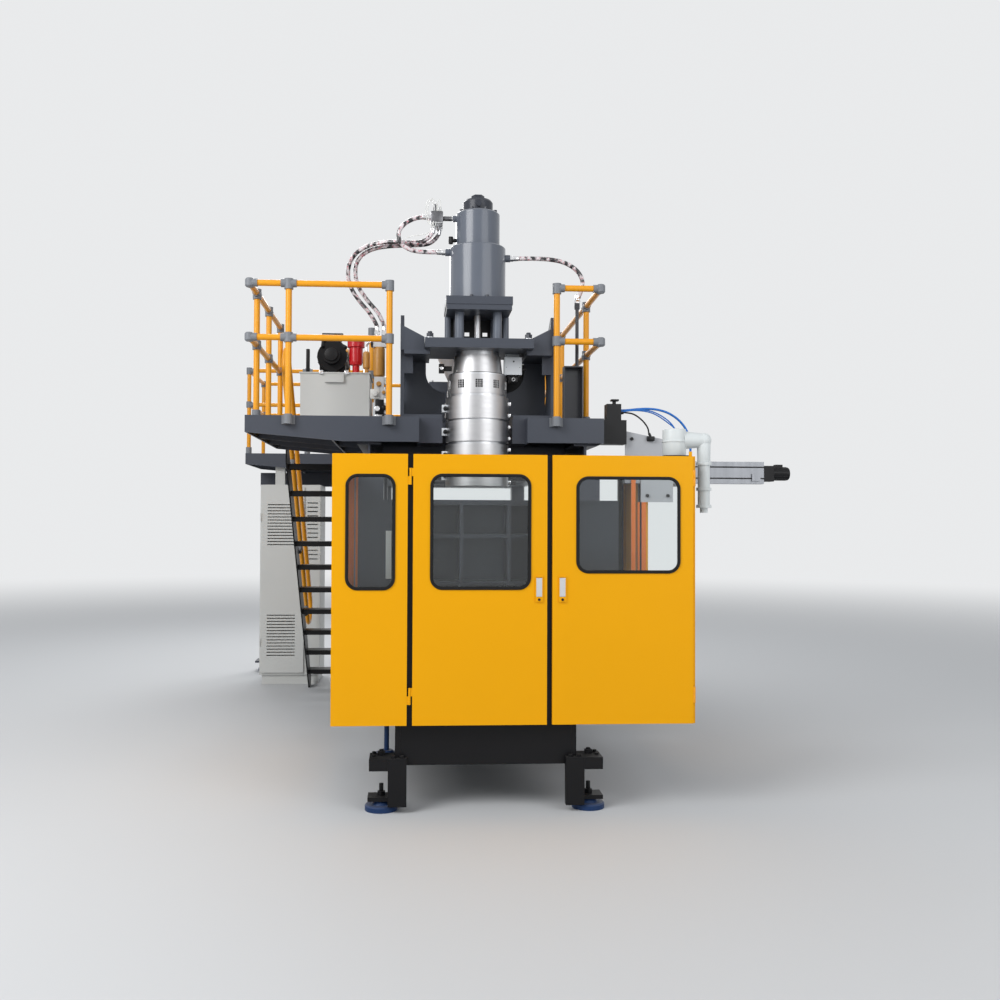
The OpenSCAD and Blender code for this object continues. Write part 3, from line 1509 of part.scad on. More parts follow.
module panel_arm() {
  color(pale) place() difference() {
    union() {
      rod_z(100, arm_pin[0], arm_pin[1], drum_low, drum_top);
      rod_z(116, arm_pin[0], arm_pin[1], drum_low + 90, drum_low + 104);
      rod_x(arm_d, arm_pin[1], arm_z, arm_pin[0], arm_x);
      translate([arm_x, arm_pin[1], arm_z]) sphere(d = arm_d);
      rod_z(arm_d, arm_x, arm_pin[1], arm_low, arm_z);
      for (z = arm_rings)
        rod_z(arm_d + 18, arm_x, arm_pin[1], z, z + 18);
      rod_z(46, arm_x, arm_pin[1], arm_low - 30, arm_low + 1);
    }
    rod_z(30 + 2 * run_fit, arm_pin[0], arm_pin[1], drum_low - 1, frame_top + 71);
  }
}

base_frame();
levelling_feet();
support_frame();
decks();
rail_tubes();
rail_fittings();
stair();
electric_cabinet();
cabinet_door();
cheeks();
lower_plate();
standoffs();
upper_plate();
push_cylinder();
cylinder_cap();
ram();
mandrel();
head_body();
heater_bands();
junction_box();
extruder_barrel();
screw();
gearbox();
extruder_motor();
hopper();
hopper_lid();
oil_tank();
pump_motor();
oil_filter();
accumulators();
valve_blocks();
hose_a();
hose_b();
hose_c();
loop_hose();
pipe_column();
guard_frame();
fixed_panels();
centre_door();
right_door();
side_door();
fixed_panes();
centre_pane();
right_pane();
side_pane();
centre_paddle();
right_paddle();
front_platen();
rear_platen();
tie_bars();
clamp_yoke();
clamp_cylinder();
blow_pin();
takeout_plate();
takeout_rail();
takeout_motor();
takeout_carriage();
guide_bars();
panel_arm();
air_tube();
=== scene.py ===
"""Looks of the blow moulding machine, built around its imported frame.

Places are written in millimetres from the die axis and the floor, as the
machine is drawn, and at() turns them into the row frame.
"""

import math

import bmesh
import bpy
from mathutils import Matrix, Vector
from mathutils.geometry import interpolate_bezier


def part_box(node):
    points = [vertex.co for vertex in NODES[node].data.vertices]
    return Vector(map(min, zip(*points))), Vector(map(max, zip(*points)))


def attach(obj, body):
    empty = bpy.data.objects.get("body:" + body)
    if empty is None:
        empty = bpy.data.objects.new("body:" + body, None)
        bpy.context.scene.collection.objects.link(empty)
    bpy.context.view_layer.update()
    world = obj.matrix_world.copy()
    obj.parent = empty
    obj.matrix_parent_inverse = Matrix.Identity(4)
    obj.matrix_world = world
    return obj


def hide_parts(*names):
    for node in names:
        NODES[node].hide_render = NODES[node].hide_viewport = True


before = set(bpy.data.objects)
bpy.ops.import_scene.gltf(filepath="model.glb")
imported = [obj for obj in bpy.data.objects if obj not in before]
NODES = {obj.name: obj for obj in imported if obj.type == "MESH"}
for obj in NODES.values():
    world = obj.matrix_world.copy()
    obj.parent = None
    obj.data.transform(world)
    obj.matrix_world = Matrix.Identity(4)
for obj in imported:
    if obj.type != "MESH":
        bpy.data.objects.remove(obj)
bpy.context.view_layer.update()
MM = 0.001

head_low, head_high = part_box("head_body")
DIE_Y = (head_low.y + head_high.y) / 2


def at(x, y, z):
    """Point in the row frame, from millimetres off the die axis and the floor."""
    return Vector((x * MM, DIE_Y + y * MM, z * MM))


# Camera: standing height in the hall, aimed a little to the right and up
EYE = at(-452, -6900, 1720)
TURN_RIGHT = math.radians(3.47)
TILT_UP = math.radians(1.146)
ROLL = math.radians(0.246)
LENS = 36
SENSOR_W = 36
SHIFT_X = 0.0282
FAR_LIMIT = 100


def make_camera():
    data = bpy.data.cameras.new("camera")
    data.sensor_width = SENSOR_W
    data.lens = LENS
    data.shift_x = SHIFT_X
    data.clip_end = FAR_LIMIT
    cam = bpy.data.objects.new("camera", data)
    bpy.context.scene.collection.objects.link(cam)
    turn = Matrix.Rotation(-TURN_RIGHT, 4, "Z")
    tilt = Matrix.Rotation(math.radians(90) + TILT_UP, 4, "X")
    cam.matrix_world = Matrix.Translation(EYE) @ turn @ tilt @ Matrix.Rotation(ROLL, 4, "Z")
    bpy.context.scene.camera = cam


# Shader helpers
def new_material(name):
    mat = bpy.data.materials.new(name)
    mat.use_nodes = True
    shader = mat.node_tree.nodes["Principled BSDF"]
    return mat, mat.node_tree.nodes, mat.node_tree.links, shader


def new_group(name, inputs, outputs):
    """Shader node group with named sockets; returns it with its end nodes."""
    group = bpy.data.node_groups.new(name, "ShaderNodeTree")
    for label, kind, value in inputs:
        socket = group.interface.new_socket(label, in_out="INPUT", socket_type=kind)
        if value is not None:
            socket.default_value = value
    for label, kind in outputs:
        group.interface.new_socket(label, in_out="OUTPUT", socket_type=kind)
    first = group.nodes.new("NodeGroupInput")
    last = group.nodes.new("NodeGroupOutput")
    return group, first, last


def set_inputs(node, values):
    for label, value in values.items():
        node.inputs[label].default_value = value


def object_place(nodes):
    """The point of the surface in the object's own frame."""
    return nodes.new("ShaderNodeTexCoord").outputs["Object"]


def feed(tree, socket, value):
    """Links a socket to the output it is given, or sets it to a plain value."""
    if hasattr(value, "links"):
        tree.links.new(value, socket)
    else:
        socket.default_value = value


def noise(tree, vector, scale, detail):
    node = tree.nodes.new("ShaderNodeTexNoise")
    feed(tree, node.inputs["Scale"], scale)
    node.inputs["Detail"].default_value = detail
    tree.links.new(vector, node.inputs["Vector"])
    return node.outputs["Fac"]


def calc(tree, operation, a, b, c=None, clamp=False):
    node = tree.nodes.new("ShaderNodeMath")
    node.operation = operation
    node.use_clamp = clamp
    for socket, value in zip(node.inputs, (a, b, c)):
        if value is not None:
            feed(tree, socket, value)
    return node.outputs["Value"]


def blend_colour(tree, factor, a, b):
    node = tree.nodes.new("ShaderNodeMix")
    node.data_type = "RGBA"
    for k, value in ((0, factor), (6, a), (7, b)):
        feed(tree, node.inputs[k], value)
    return node.outputs[2]


def rgba(colour):
    return (*colour, 1.0)


COLOUR = "NodeSocketColor"
FLOAT = "NodeSocketFloat"
VECTOR = "NodeSocketVector"


def shift_tone(group, colour, wave, amount):
    """Colour that grows a little lighter and darker with a noise wave."""
    swing = calc(group, "MULTIPLY_ADD", calc(group, "SUBTRACT", wave, 0.5), amount, 1.0)
    scaled = group.nodes.new("ShaderNodeVectorMath")
    scaled.operation = "SCALE"
    group.links.new(colour, scaled.inputs[0])
    group.links.new(swing, scaled.inputs["Scale"])
    return scaled.outputs["Vector"]


def make_sprayed_paint():
    """Faint shift of tone and gloss over a sprayed panel, with its fine orange peel."""
    group, first, last = new_group(
        "sprayed_paint",
        [("Colour", COLOUR, None), ("Tone", FLOAT, 0.08), ("Roughness", FLOAT, 0.35),
         ("Spread", FLOAT, 0.1), ("Patch", FLOAT, 1.5)],
        [("Colour", COLOUR), ("Roughness", FLOAT), ("Height", FLOAT)])
    place = object_place(group.nodes)
    broad = noise(group, place, first.outputs["Patch"], 4)
    colour = shift_tone(group, first.outputs["Colour"], broad, first.outputs["Tone"])
    group.links.new(colour, last.inputs["Colour"])
    gloss = calc(group, "SUBTRACT", noise(group, place, 9.0, 2), 0.5)
    rough = calc(group, "MULTIPLY_ADD", gloss, first.outputs["Spread"], first.outputs["Roughness"])
    group.links.new(rough, last.inputs["Roughness"])
    group.links.new(noise(group, place, 160.0, 2), last.inputs["Height"])
    return group


def make_settled_dust():
    """Pale dust that lies in patches on faces that look up."""
    group, first, last = new_group(
        "settled_dust",
        [("Colour", COLOUR, None), ("Dust", COLOUR, rgba((0.42, 0.40, 0.37))),
         ("Amount", FLOAT, 0.4)],
        [("Colour", COLOUR)])
    place = object_place(group.nodes)
    normal = group.nodes.new("ShaderNodeNewGeometry").outputs["Normal"]
    split = group.nodes.new("ShaderNodeSeparateXYZ")
    group.links.new(normal, split.inputs[0])
    up = calc(group, "MULTIPLY", calc(group, "SUBTRACT", split.outputs["Z"], 0.6), 2.5, clamp=True)
    patch = calc(group, "MULTIPLY_ADD", noise(group, place, 4.0, 5), 1.2, -0.1, clamp=True)
    mask = calc(group, "MULTIPLY", calc(group, "MULTIPLY", up, patch), first.outputs["Amount"])
    group.links.new(blend_colour(group, mask, first.outputs["Colour"], first.outputs["Dust"]),
                    last.inputs["Colour"])
    return group


def make_machined_lines():
    """Fine lines left by rolling, turning or brushing, along the axes of Vector."""
    group, first, last = new_group(
        "machined_lines",
        [("Vector", VECTOR, None), ("Colour", COLOUR, None), ("Depth", FLOAT, 0.25),
         ("Roughness", FLOAT, 0.3)],
        [("Colour", COLOUR), ("Roughness", FLOAT), ("Height", FLOAT)])
    lines = noise(group, first.outputs["Vector"], 1.0, 4)
    colour = shift_tone(group, first.outputs["Colour"], lines, first.outputs["Depth"])
    group.links.new(colour, last.inputs["Colour"])
    rough = calc(group, "MULTIPLY_ADD", calc(group, "SUBTRACT", lines, 0.5), 0.3,
                 first.outputs["Roughness"], clamp=True)
    group.links.new(rough, last.inputs["Roughness"])
    group.links.new(lines, last.inputs["Height"])
    return group


SPRAYED_PAINT = make_sprayed_paint()
SETTLED_DUST = make_settled_dust()
MACHINED_LINES = make_machined_lines()


def use_group(nodes, group, **values):
    node = nodes.new("ShaderNodeGroup")
    node.node_tree = group
    set_inputs(node, values)
    return node


def add_bump(nodes, links, shader, height, strength, distance):
    bump = nodes.new("ShaderNodeBump")
    set_inputs(bump, {"Strength": strength, "Distance": distance})
    links.new(height, bump.inputs["Height"])
    links.new(bump.outputs["Normal"], shader.inputs["Normal"])


def add_dust(nodes, links, shader, layer, amount):
    """Dust over a coat or bare metal, whose colour and roughness then go to the shader."""
    dusty = use_group(nodes, SETTLED_DUST, Amount=amount)
    links.new(layer.outputs["Colour"], dusty.inputs["Colour"])
    links.new(dusty.outputs["Colour"], shader.inputs["Base Color"])
    links.new(layer.outputs["Roughness"], shader.inputs["Roughness"])


def shade(screen):
    """Colour from its three 0 to 255 screen values."""
    return rgba(((c / 255 + 0.055) / 1.055) ** 2.4 if c > 10 else c / 255 / 12.92
                for c in screen)


def paint(name, screen, rough, tone=0.08, dust=0.25, coat=0.0, peel=0.03, gloss=0.25):
    """Sprayed paint: clean on upright faces, a little dusty on top."""
    mat, nodes, links, shader = new_material(name)
    coatwork = use_group(nodes, SPRAYED_PAINT, Colour=shade(screen), Tone=tone, Roughness=rough)
    add_dust(nodes, links, shader, coatwork, dust)
    set_inputs(shader, {"Specular IOR Level": gloss, "Coat Weight": coat, "Coat Roughness": 0.15})
    add_bump(nodes, links, shader, coatwork.outputs["Height"], peel, 0.002)
    return mat


METAL_DUST = 0.1


def metal(name, colour, rough, depth, stretch, bump=0.05):
    """Bare metal with fine lines; stretch says how closely the lines repeat on each axis."""
    mat, nodes, links, shader = new_material(name)
    mapping = nodes.new("ShaderNodeMapping")
    set_inputs(mapping, {"Scale": stretch})
    links.new(object_place(nodes), mapping.inputs["Vector"])
    lines = use_group(nodes, MACHINED_LINES, Colour=rgba(colour), Depth=depth, Roughness=rough)
    links.new(mapping.outputs["Vector"], lines.inputs["Vector"])
    add_dust(nodes, links, shader, lines, METAL_DUST)
    set_inputs(shader, {"Metallic": 1.0})
    add_bump(nodes, links, shader, lines.outputs["Height"], bump, 0.001)
    return mat


def split_paint(name, near, far, axis, limit, rough=0.38):
    """Two paints on one piece: the far one beyond a limit in metres on one axis."""
    mat = paint(name, near, rough)
    nodes, links = mat.node_tree.nodes, mat.node_tree.links
    split = nodes.new("ShaderNodeSeparateXYZ")
    links.new(object_place(nodes), split.inputs[0])
    beyond = calc(mat.node_tree, "GREATER_THAN", split.outputs[axis], limit)
    coatwork = next(n for n in nodes if n.type == "GROUP" and n.node_tree == SPRAYED_PAINT)
    colour = blend_colour(mat.node_tree, beyond, shade(near), shade(far))
    links.new(colour, coatwork.inputs["Colour"])
    return mat


def plastic(name, screen, rough):
    return paint(name, screen, rough, tone=0.05, dust=0.1, peel=0.02)


def clear_pane(name, colour):
    mat, *_, shader = new_material(name)
    set_inputs(shader, {"Base Color": rgba(colour), "Roughness": 0.03, "IOR": 1.45,
                        "Metallic": 0.0, "Transmission Weight": 1.0})
    return mat


# Past the deck's right edge the frame is black; the rear posts of the head are darker with painted
# shade
DECK_EDGE_X = 0.861
SHADED_REAR_Y = DIE_Y + 0.15

# Finishes: paints and plastics by their screen values, metals by the shares they reflect
GUARD_YELLOW = paint("guard_yellow", (233, 164, 0), 0.42, tone=0.05, dust=0.1, coat=0.04, gloss=0.15)
RAIL_YELLOW = paint("rail_yellow", (236, 160, 30), 0.34, dust=0.15, coat=0.15)
SLATE = paint("slate_paint", (71, 75, 84), 0.38, tone=0.12, dust=0.2, coat=0.05, peel=0.015)
DARK_SLATE = paint("dark_slate_paint", (54, 57, 65), 0.36, tone=0.12, dust=0.2, coat=0.1)
BLACK = paint("black_paint", (20, 20, 22), 0.4, tone=0.2, dust=0.12, gloss=0.2)
CABINET = paint("cabinet_grey", (208, 209, 206), 0.4, dust=0.2)
CYLINDER = paint("cylinder_paint", (96, 102, 113), 0.3, tone=0.15, dust=0.2, coat=0.5)
DARK_STEEL = metal("dark_steel", (0.16, 0.16, 0.17), 0.35, 0.2, (60, 60, 60))
FRAME_SLATE = split_paint("frame_paint", (68, 71, 80), (20, 20, 22), "X", DECK_EDGE_X)
# The stack's far colour is painted shade: its parts behind the rear posts' line are darkened as if
# in shadow
STACK_SLATE_AND_SHADE = split_paint("stack_paint_and_rear_shade", (106, 112, 123), (24, 25, 27), "Y", SHADED_REAR_Y, 0.32)
PLATE_GREY = paint("plate_grey", (176, 178, 182), 0.4, dust=0.1)
CLAMP_GREY = paint("clamp_grey", (126, 129, 134), 0.42, tone=0.2, dust=0.2)
BOX_GREY = paint("box_grey", (210, 214, 218), 0.4, dust=0.15)
FILTER_RED = paint("filter_red", (196, 22, 32), 0.25, coat=0.4)
BRONZE = paint("bronze_paint", (196, 142, 70), 0.3, coat=0.3)
FOOT_BLUE = paint("foot_blue", (26, 52, 92), 0.4, dust=0.4)
ORANGE = paint("bar_orange", (222, 118, 46), 0.35)
ARM_GREY = paint("arm_grey", (214, 219, 219), 0.35, dust=0.15)
BAND_STEEL = metal("band_steel", (0.50, 0.50, 0.51), 0.4, 0.12, (2, 2, 110), bump=0.02)
BARREL_STEEL = metal("barrel_steel", (0.66, 0.65, 0.63), 0.32, 0.3, (2, 150, 2))
PLATE_STEEL = metal("plate_steel", (0.60, 0.61, 0.62), 0.35, 0.2, (120, 4, 4))
TURNED_STEEL = metal("turned_steel", (0.55, 0.56, 0.58), 0.35, 0.2, (2, 2, 300))
BRIGHT_STEEL = metal("bright_steel", (0.78, 0.79, 0.81), 0.15, 0.1, (2, 90, 2), bump=0.02)
ALUMINIUM = metal("aluminium", (0.26, 0.27, 0.29), 0.45, 0.12, (60, 3, 3))
LATCH = metal("latch_chrome", (0.80, 0.80, 0.81), 0.18, 0.05, (20, 20, 20), bump=0.0)
BLACK_RUBBER = plastic("black_rubber", (14, 14, 15), 0.6)
BLACK_PLASTIC = plastic("black_plastic", (22, 22, 24), 0.4)
WHITE_PLASTIC = plastic("white_plastic", (228, 228, 224), 0.35)
BLUE_TUBE = plastic("blue_tube", (40, 112, 196), 0.25)
DARK_PIPE = paint("dark_pipe", (58, 60, 66), 0.3, coat=0.2)
CLEAR = clear_pane("clear_pane", (0.86, 0.90, 0.90))

# Each finish and the nodes that wear it
FINISHES = (
    (FRAME_SLATE, "support_frame"),
    (SLATE, "decks cheeks gearbox extruder_motor front_platen rear_platen clamp_yoke "
            "upper_plate lower_plate"),
    (DARK_SLATE, "cylinder_cap"),
    (STACK_SLATE_AND_SHADE, "standoffs"),
    (CYLINDER, "push_cylinder"),
    (PLATE_GREY, "takeout_plate"),
    (CLAMP_GREY, "rail_fittings"),
    (BLACK, "base_frame stair guard_frame pump_motor takeout_motor"),
    (FOOT_BLUE, "levelling_feet"),
    (RAIL_YELLOW, "rail_tubes"),
    (CABINET, "electric_cabinet cabinet_door oil_tank"),
    (TURNED_STEEL, "ram mandrel head_body screw blow_pin"),
    (PLATE_STEEL, "valve_blocks"),
    (BAND_STEEL, "heater_bands hopper hopper_lid"),
    (BARREL_STEEL, "extruder_barrel"),
    (BRIGHT_STEEL, "tie_bars"),
    (BOX_GREY, "junction_box clamp_cylinder"),
    (FILTER_RED, "oil_filter"),
    (BRONZE, "accumulators"),
    (DARK_PIPE, "pipe_column"),
    (GUARD_YELLOW, "fixed_panels centre_door right_door side_door"),
    (CLEAR, "fixed_panes centre_pane right_pane side_pane"),
    (LATCH, "centre_paddle right_paddle"),
    (ALUMINIUM, "takeout_rail takeout_carriage"),
    (ARM_GREY, "panel_arm"),
    (ORANGE, "guide_bars"),
)


def finish_frame():
    for mat, names in FINISHES:
        for name in names.split():
            for place in NODES[name].material_slots:
                place.material = mat


# Mesh helpers: they take millimetres, and draw each piece in metres at its place in the frame
def piece(name, mesh, mat, body="machine", smooth=30):
    """Turns a bmesh into a finished piece that rides on a body."""
    bmesh.ops.remove_doubles(mesh, verts=mesh.verts, dist=1e-6)
    bmesh.ops.recalc_face_normals(mesh, faces=mesh.faces)
    data = bpy.data.meshes.new(name)
    mesh.to_mesh(data)
    mesh.free()
    obj = bpy.data.objects.new(name, data)
    bpy.context.scene.collection.objects.link(obj)
    data.materials.append(mat)
    data.shade_smooth()
    data.set_sharp_from_angle(angle=math.radians(smooth))
    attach(obj, body)


def new_meshes(count):
    return [bmesh.new() for _ in range(count)]


def turn_to(axis):
    """Rotation that takes +Z to the axis."""
    return Vector(axis).to_track_quat("Z", "Y").to_matrix().to_4x4()


def move(mesh, verts, matrix):
    bmesh.ops.transform(mesh, matrix=matrix, verts=verts)


def round_edges(mesh, edges, radius, segments=2):
    bmesh.ops.bevel(mesh, geom=edges, offset=radius * MM, offset_type="OFFSET",
                    segments=segments, profile=0.5, affect="EDGES", material=-1,
                    clamp_overlap=True)


def add_box(mesh, low, high, bevel=0.0):
    """Box between two corners, given in millimetres off the die axis."""
    a, b = at(*low), at(*high)
    made = bmesh.ops.create_cube(mesh, size=1.0)
    size = Matrix.Diagonal((*[abs(b[k] - a[k]) for k in range(3)], 1))
    move(mesh, made["verts"], Matrix.Translation((a + b) / 2) @ size)
    if bevel:
        round_edges(mesh, list({e for v in made["verts"] for e in v.link_edges}), bevel)


def add_rod(mesh, start, end, d0, d1=None, sides=24, bevel=0.0):
    """Round bar or cone from one point to another, in millimetres off the die axis."""
    a, b = at(*start), at(*end)
    made = bmesh.ops.create_cone(mesh, cap_ends=True, segments=sides, radius1=d0 / 2 * MM,
                                 radius2=(d0 if d1 is None else d1) / 2 * MM,
                                 depth=(b - a).length)
    move(mesh, made["verts"], Matrix.Translation((a + b) / 2) @ turn_to(b - a))
    if bevel:
        rims = {e for v in made["verts"] for e in v.link_edges if len(e.link_faces) == 2
                and any(len(f.verts) == sides for f in e.link_faces)}
        round_edges(mesh, list(rims), bevel)


def add_ball(mesh, centre, diameter):
    made = bmesh.ops.create_uvsphere(mesh, u_segments=20, v_segments=12, radius=diameter / 2 * MM)
    move(mesh, made["verts"], Matrix.Translation(at(*centre)))


# Directions of bolts and rods
UP = (0, 0, 1)
FORWARD = (0, -1, 0)
# Half the width across the flats of a hexagon, as a share of its corner radius
HEX_FLAT = 0.866
# Usual height of a bolt head, as a share of its width
HEAD_TALL = 0.65


def add_bolt(mesh, point, axis, width, height=None):
    """Hexagon head whose foot is at the point."""
    tall = (height or width * HEAD_TALL) * MM
    corner = width / 2 * MM / HEX_FLAT
    made = bmesh.ops.create_cone(mesh, cap_ends=True, segments=6, radius1=corner,
                                 radius2=corner, depth=tall)
    middle = at(*point) + Vector(axis).normalized() * tall / 2
    move(mesh, made["verts"], Matrix.Translation(middle) @ turn_to(axis))


def add_tube(mesh, points, diameter, sides=12):
    """Bent pipe through points in millimetres, with closed ends."""
    path = [at(*p) for p in points]
    rings = []
    for k, p in enumerate(path):
        along = (path[min(k + 1, len(path) - 1)] - path[max(k - 1, 0)]).normalized()
        ring = bmesh.ops.create_circle(mesh, segments=sides, radius=diameter / 2 * MM)["verts"]
        move(mesh, ring, Matrix.Translation(p) @ turn_to(along))
        rings.append(ring)
    for pair in zip(rings, rings[1:]):
        edges = {e for ring in pair for v in ring for e in v.link_edges if e.other_vert(v) in ring}
        bmesh.ops.bridge_loops(mesh, edges=list(edges))
    for ring in (rings[0], rings[-1]):
        mesh.faces.new(ring)


def smooth_route(points, steps=6):
    """Points on a curve through the given ones, so that a pipe bends smoothly."""
    path = [Vector(p) for p in points]
    last = len(path) - 1
    out = []
    for k in range(last):
        before, a, b, after = (path[max(k - 1, 0)], path[k], path[k + 1], path[min(k + 2, last)])
        out += interpolate_bezier(a, a + (b - before) / 6, b - (after - a) / 6, b, steps + 1)[:-1]
    return out + [path[-1]]


def polar(radius, angle, z):
    """Point on a circle round the die axis, from its angle in degrees."""
    a = math.radians(angle)
    return (radius * math.cos(a), radius * math.sin(a), z)


# Window gaskets: width, outer corner radius, height over the panel and rounding
GASKET_W = 19
GASKET_R = 72
GASKET_PROUD = 7
GASKET_SOFT = 3


def add_gasket(mesh, centre, width, height, place):
    """Rubber frame with a rounded outline round a window; place takes X, Z to the panel."""
    made = bmesh.ops.create_grid(mesh, x_segments=1, y_segments=1, size=0.5)
    move(mesh, made["verts"], Matrix.Diagonal((width * MM, height * MM, 1, 1)))
    bmesh.ops.bevel(mesh, geom=made["verts"], offset=GASKET_R * MM, offset_type="OFFSET",
                    segments=10, profile=0.5, affect="VERTICES", material=-1)
    face = mesh.faces[:][0]
    ring = bmesh.ops.inset_individual(mesh, faces=[face], thickness=GASKET_W * MM)["faces"]
    bmesh.ops.delete(mesh, geom=[face], context="FACES_ONLY")
    made = bmesh.ops.extrude_face_region(mesh, geom=ring)
    lifted = [g for g in made["geom"] if isinstance(g, bmesh.types.BMVert)]
    bmesh.ops.translate(mesh, vec=(0, 0, GASKET_PROUD * MM), verts=lifted)
    mesh.normal_update()
    top = [e for e in mesh.edges if all(v in lifted for v in e.verts)
           and len(e.link_faces) == 2 and any(abs(f.normal.z) < 0.5 for f in e.link_faces)]
    round_edges(mesh, top, GASKET_SOFT, segments=3)
    move(mesh, mesh.verts, place @ Matrix.Translation((centre[0] * MM, centre[1] * MM, 0)))


# Planes of the front and left panels, and each window: body, middle, width and height
FRONT_FACE = -1050
LEFT_FACE = -912
FRONT_WINDOWS = {
    "left_window_gasket": ("machine", (-688.5, 1647.5), 291, 679),
    "centre_window_gasket": ("centre_door", (-43.5, 1651), 594, 680),
    "right_window_gasket": ("right_door", (832, 1694.5), 623, 573),
}
SIDE_WINDOWS = {
    "side_window_gasket": ("side_door", (176, 1648), 560, 680),
    "slot_window_gasket": ("machine", (823, 1648), 210, 680),
}


def make_gaskets():
    front = Matrix.Translation(at(0, FRONT_FACE, 0)) @ Matrix.Rotation(math.radians(90), 4, "X")
    side = (Matrix.Translation(at(LEFT_FACE, 0, 0)) @ Matrix.Rotation(math.radians(-90), 4, "Z")
            @ Matrix.Rotation(math.radians(90), 4, "X"))
    for windows, place in ((FRONT_WINDOWS, front), (SIDE_WINDOWS, side)):
        for name, (body, centre, width, height) in windows.items():
            mesh = bmesh.new()
            add_gasket(mesh, centre, width, height, place)
            piece(name, mesh, BLACK_RUBBER, body, smooth=40)


# Hoses: the routes of the machine's drawing, in millimetres off the die axis
HOSE_D = 30
HOSE_A = [(-705, 400, 3070), (-708, 400, 3130), (-760, 385, 3220), (-840, 350, 3310),
          (-895, 315, 3395), (-912, 280, 3470), (-900, 240, 3545), (-860, 200, 3600),
          (-802, 160, 3634), (-735, 125, 3653), (-660, 92, 3660), (-582, 64, 3658),
          (-505, 44, 3652), (-427, 30, 3648), (-380, 26, 3657), (-341, 24, 3684),
          (-314, 24, 3723), (-305, 24, 3770)]
HOSE_B = [(-655, 400, 3070), (-656, 400, 3130), (-700, 390, 3225), (-780, 360, 3315),
          (-840, 325, 3400), (-860, 290, 3475), (-852, 252, 3545), (-816, 216, 3594),
          (-762, 183, 3624), (-695, 153, 3639), (-620, 127, 3644), (-543, 105, 3644),
          (-465, 86, 3643), (-387, 74, 3645), (-339, 70, 3654), (-299, 68, 3681),
          (-271, 68, 3722), (-262, 68, 3770)]
LOOP_HOSE = [(-325, 0, 3815), (-372, 0, 3818), (-425, 0, 3810), (-478, 0, 3788),
             (-522, 0, 3753), (-547, 0, 3708), (-545, 0, 3660), (-518, 0, 3619),
             (-474, 0, 3592), (-420, 0, 3579), (-355, 0, 3575), (-290, 0, 3575), (-225, 0, 3575)]
HOSE_C = [(225, 0, 3540), (300, 0, 3542), (400, 0, 3544), (500, 0, 3540),
          (585, 0, 3526), (655, 0, 3496), (708, 0, 3450), (733, 0, 3395),
          (730, 0, 3340), (712, 0, 3290), (699, 0, 3255), (697, 0, 3235)]
AIR_D = 16
AIR_TUBE = [(1000, 0, 2490), (1050, 0, 2492), (1120, 5, 2500), (1200, 12, 2505),
            (1280, 18, 2498), (1355, 24, 2475), (1425, 30, 2430), (1475, 32, 2370),
            (1502, 32, 2300), (1510, 32, 2230), (1510, 32, 2167)]


# Screen colours of the hose and its film
HOSE_BLACK = (34, 34, 38)
FILM_PALE = (222, 214, 216)
FILM_PINK = (206, 118, 130)


def make_wrapped_hose():
    """Black hose in a spiral of clear film that catches pale and pink patches."""
    mat, nodes, links, shader = new_material("wrapped_hose")
    tree = mat.node_tree
    place = object_place(nodes)
    patch = noise(tree, place, 26.0, 4)
    fleck = noise(tree, place, 75.0, 3)
    film = calc(tree, "MULTIPLY", calc(tree, "SUBTRACT", patch, 0.44), 9.0, clamp=True)
    pink = calc(tree, "MULTIPLY", calc(tree, "SUBTRACT", fleck, 0.52), 8.0, clamp=True)
    film_colour = blend_colour(tree, pink, shade(FILM_PALE), shade(FILM_PINK))
    colour = blend_colour(tree, film, shade(HOSE_BLACK), film_colour)
    links.new(colour, shader.inputs["Base Color"])
    set_inputs(shader, {"Roughness": 0.28, "Coat Weight": 0.5, "Coat Roughness": 0.1})
    add_bump(nodes, links, shader, fleck, 0.5, 0.004)
    return mat


def make_hose(name, node, route, diameter, mat):
    """Hose as one open curve through its route, in place of its plain solid."""
    data = bpy.data.curves.new(name, "CURVE")
    data.dimensions = "3D"
    data.bevel_depth = diameter / 2 * MM
    data.bevel_resolution = 5
    data.resolution_u = 8
    data.use_fill_caps = True
    spline = data.splines.new("BEZIER")
    points = [at(*p) for p in route]
    spline.bezier_points.add(len(points) - 1)
    for k, knot in enumerate(spline.bezier_points):
        before, after = points[max(k - 1, 0)], points[min(k + 1, len(points) - 1)]
        knot.co = points[k]
        knot.handle_left_type = knot.handle_right_type = "FREE"
        knot.handle_left = points[k] - (after - before) / 6
        knot.handle_right = points[k] + (after - before) / 6
    for a, b in zip(spline.bezier_points, spline.bezier_points[1:]):
        steps = interpolate_bezier(a.co, a.handle_right, b.handle_left, b.co, 9)
    obj = bpy.data.objects.new(name, data)
    bpy.context.scene.collection.objects.link(obj)
    data.materials.append(mat)
    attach(obj, "machine")
    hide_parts(node)


def make_hoses():
    wrapped = make_wrapped_hose()
    make_hose("hose_a_line", "hose_a", HOSE_A, HOSE_D, wrapped)
    make_hose("hose_b_line", "hose_b", HOSE_B, HOSE_D, wrapped)
    make_hose("hose_c_line", "hose_c", HOSE_C, HOSE_D, wrapped)
    make_hose("loop_hose_line", "loop_hose", LOOP_HOSE, HOSE_D, wrapped)
    make_hose("air_tube_line", "air_tube", AIR_TUBE, AIR_D, BLUE_TUBE)


# Head: terminal boxes at the left of its bands, and seam clamps at their right
BAND_R = 217.5
BAND_MIDDLES = (2019, 2165, 2323, 2483)
TERMINAL_X = (-BAND_R - 28, -BAND_R + 22)
TERMINAL_Y = (-62, -8)
GLAND_X = -BAND_R - 4
LUG_X = (BAND_R - 3, BAND_R + 16)
LUG_Y = (5, 16)
CLAMP_BOLT_X = BAND_R + 8
CLAMP_RISE = 40


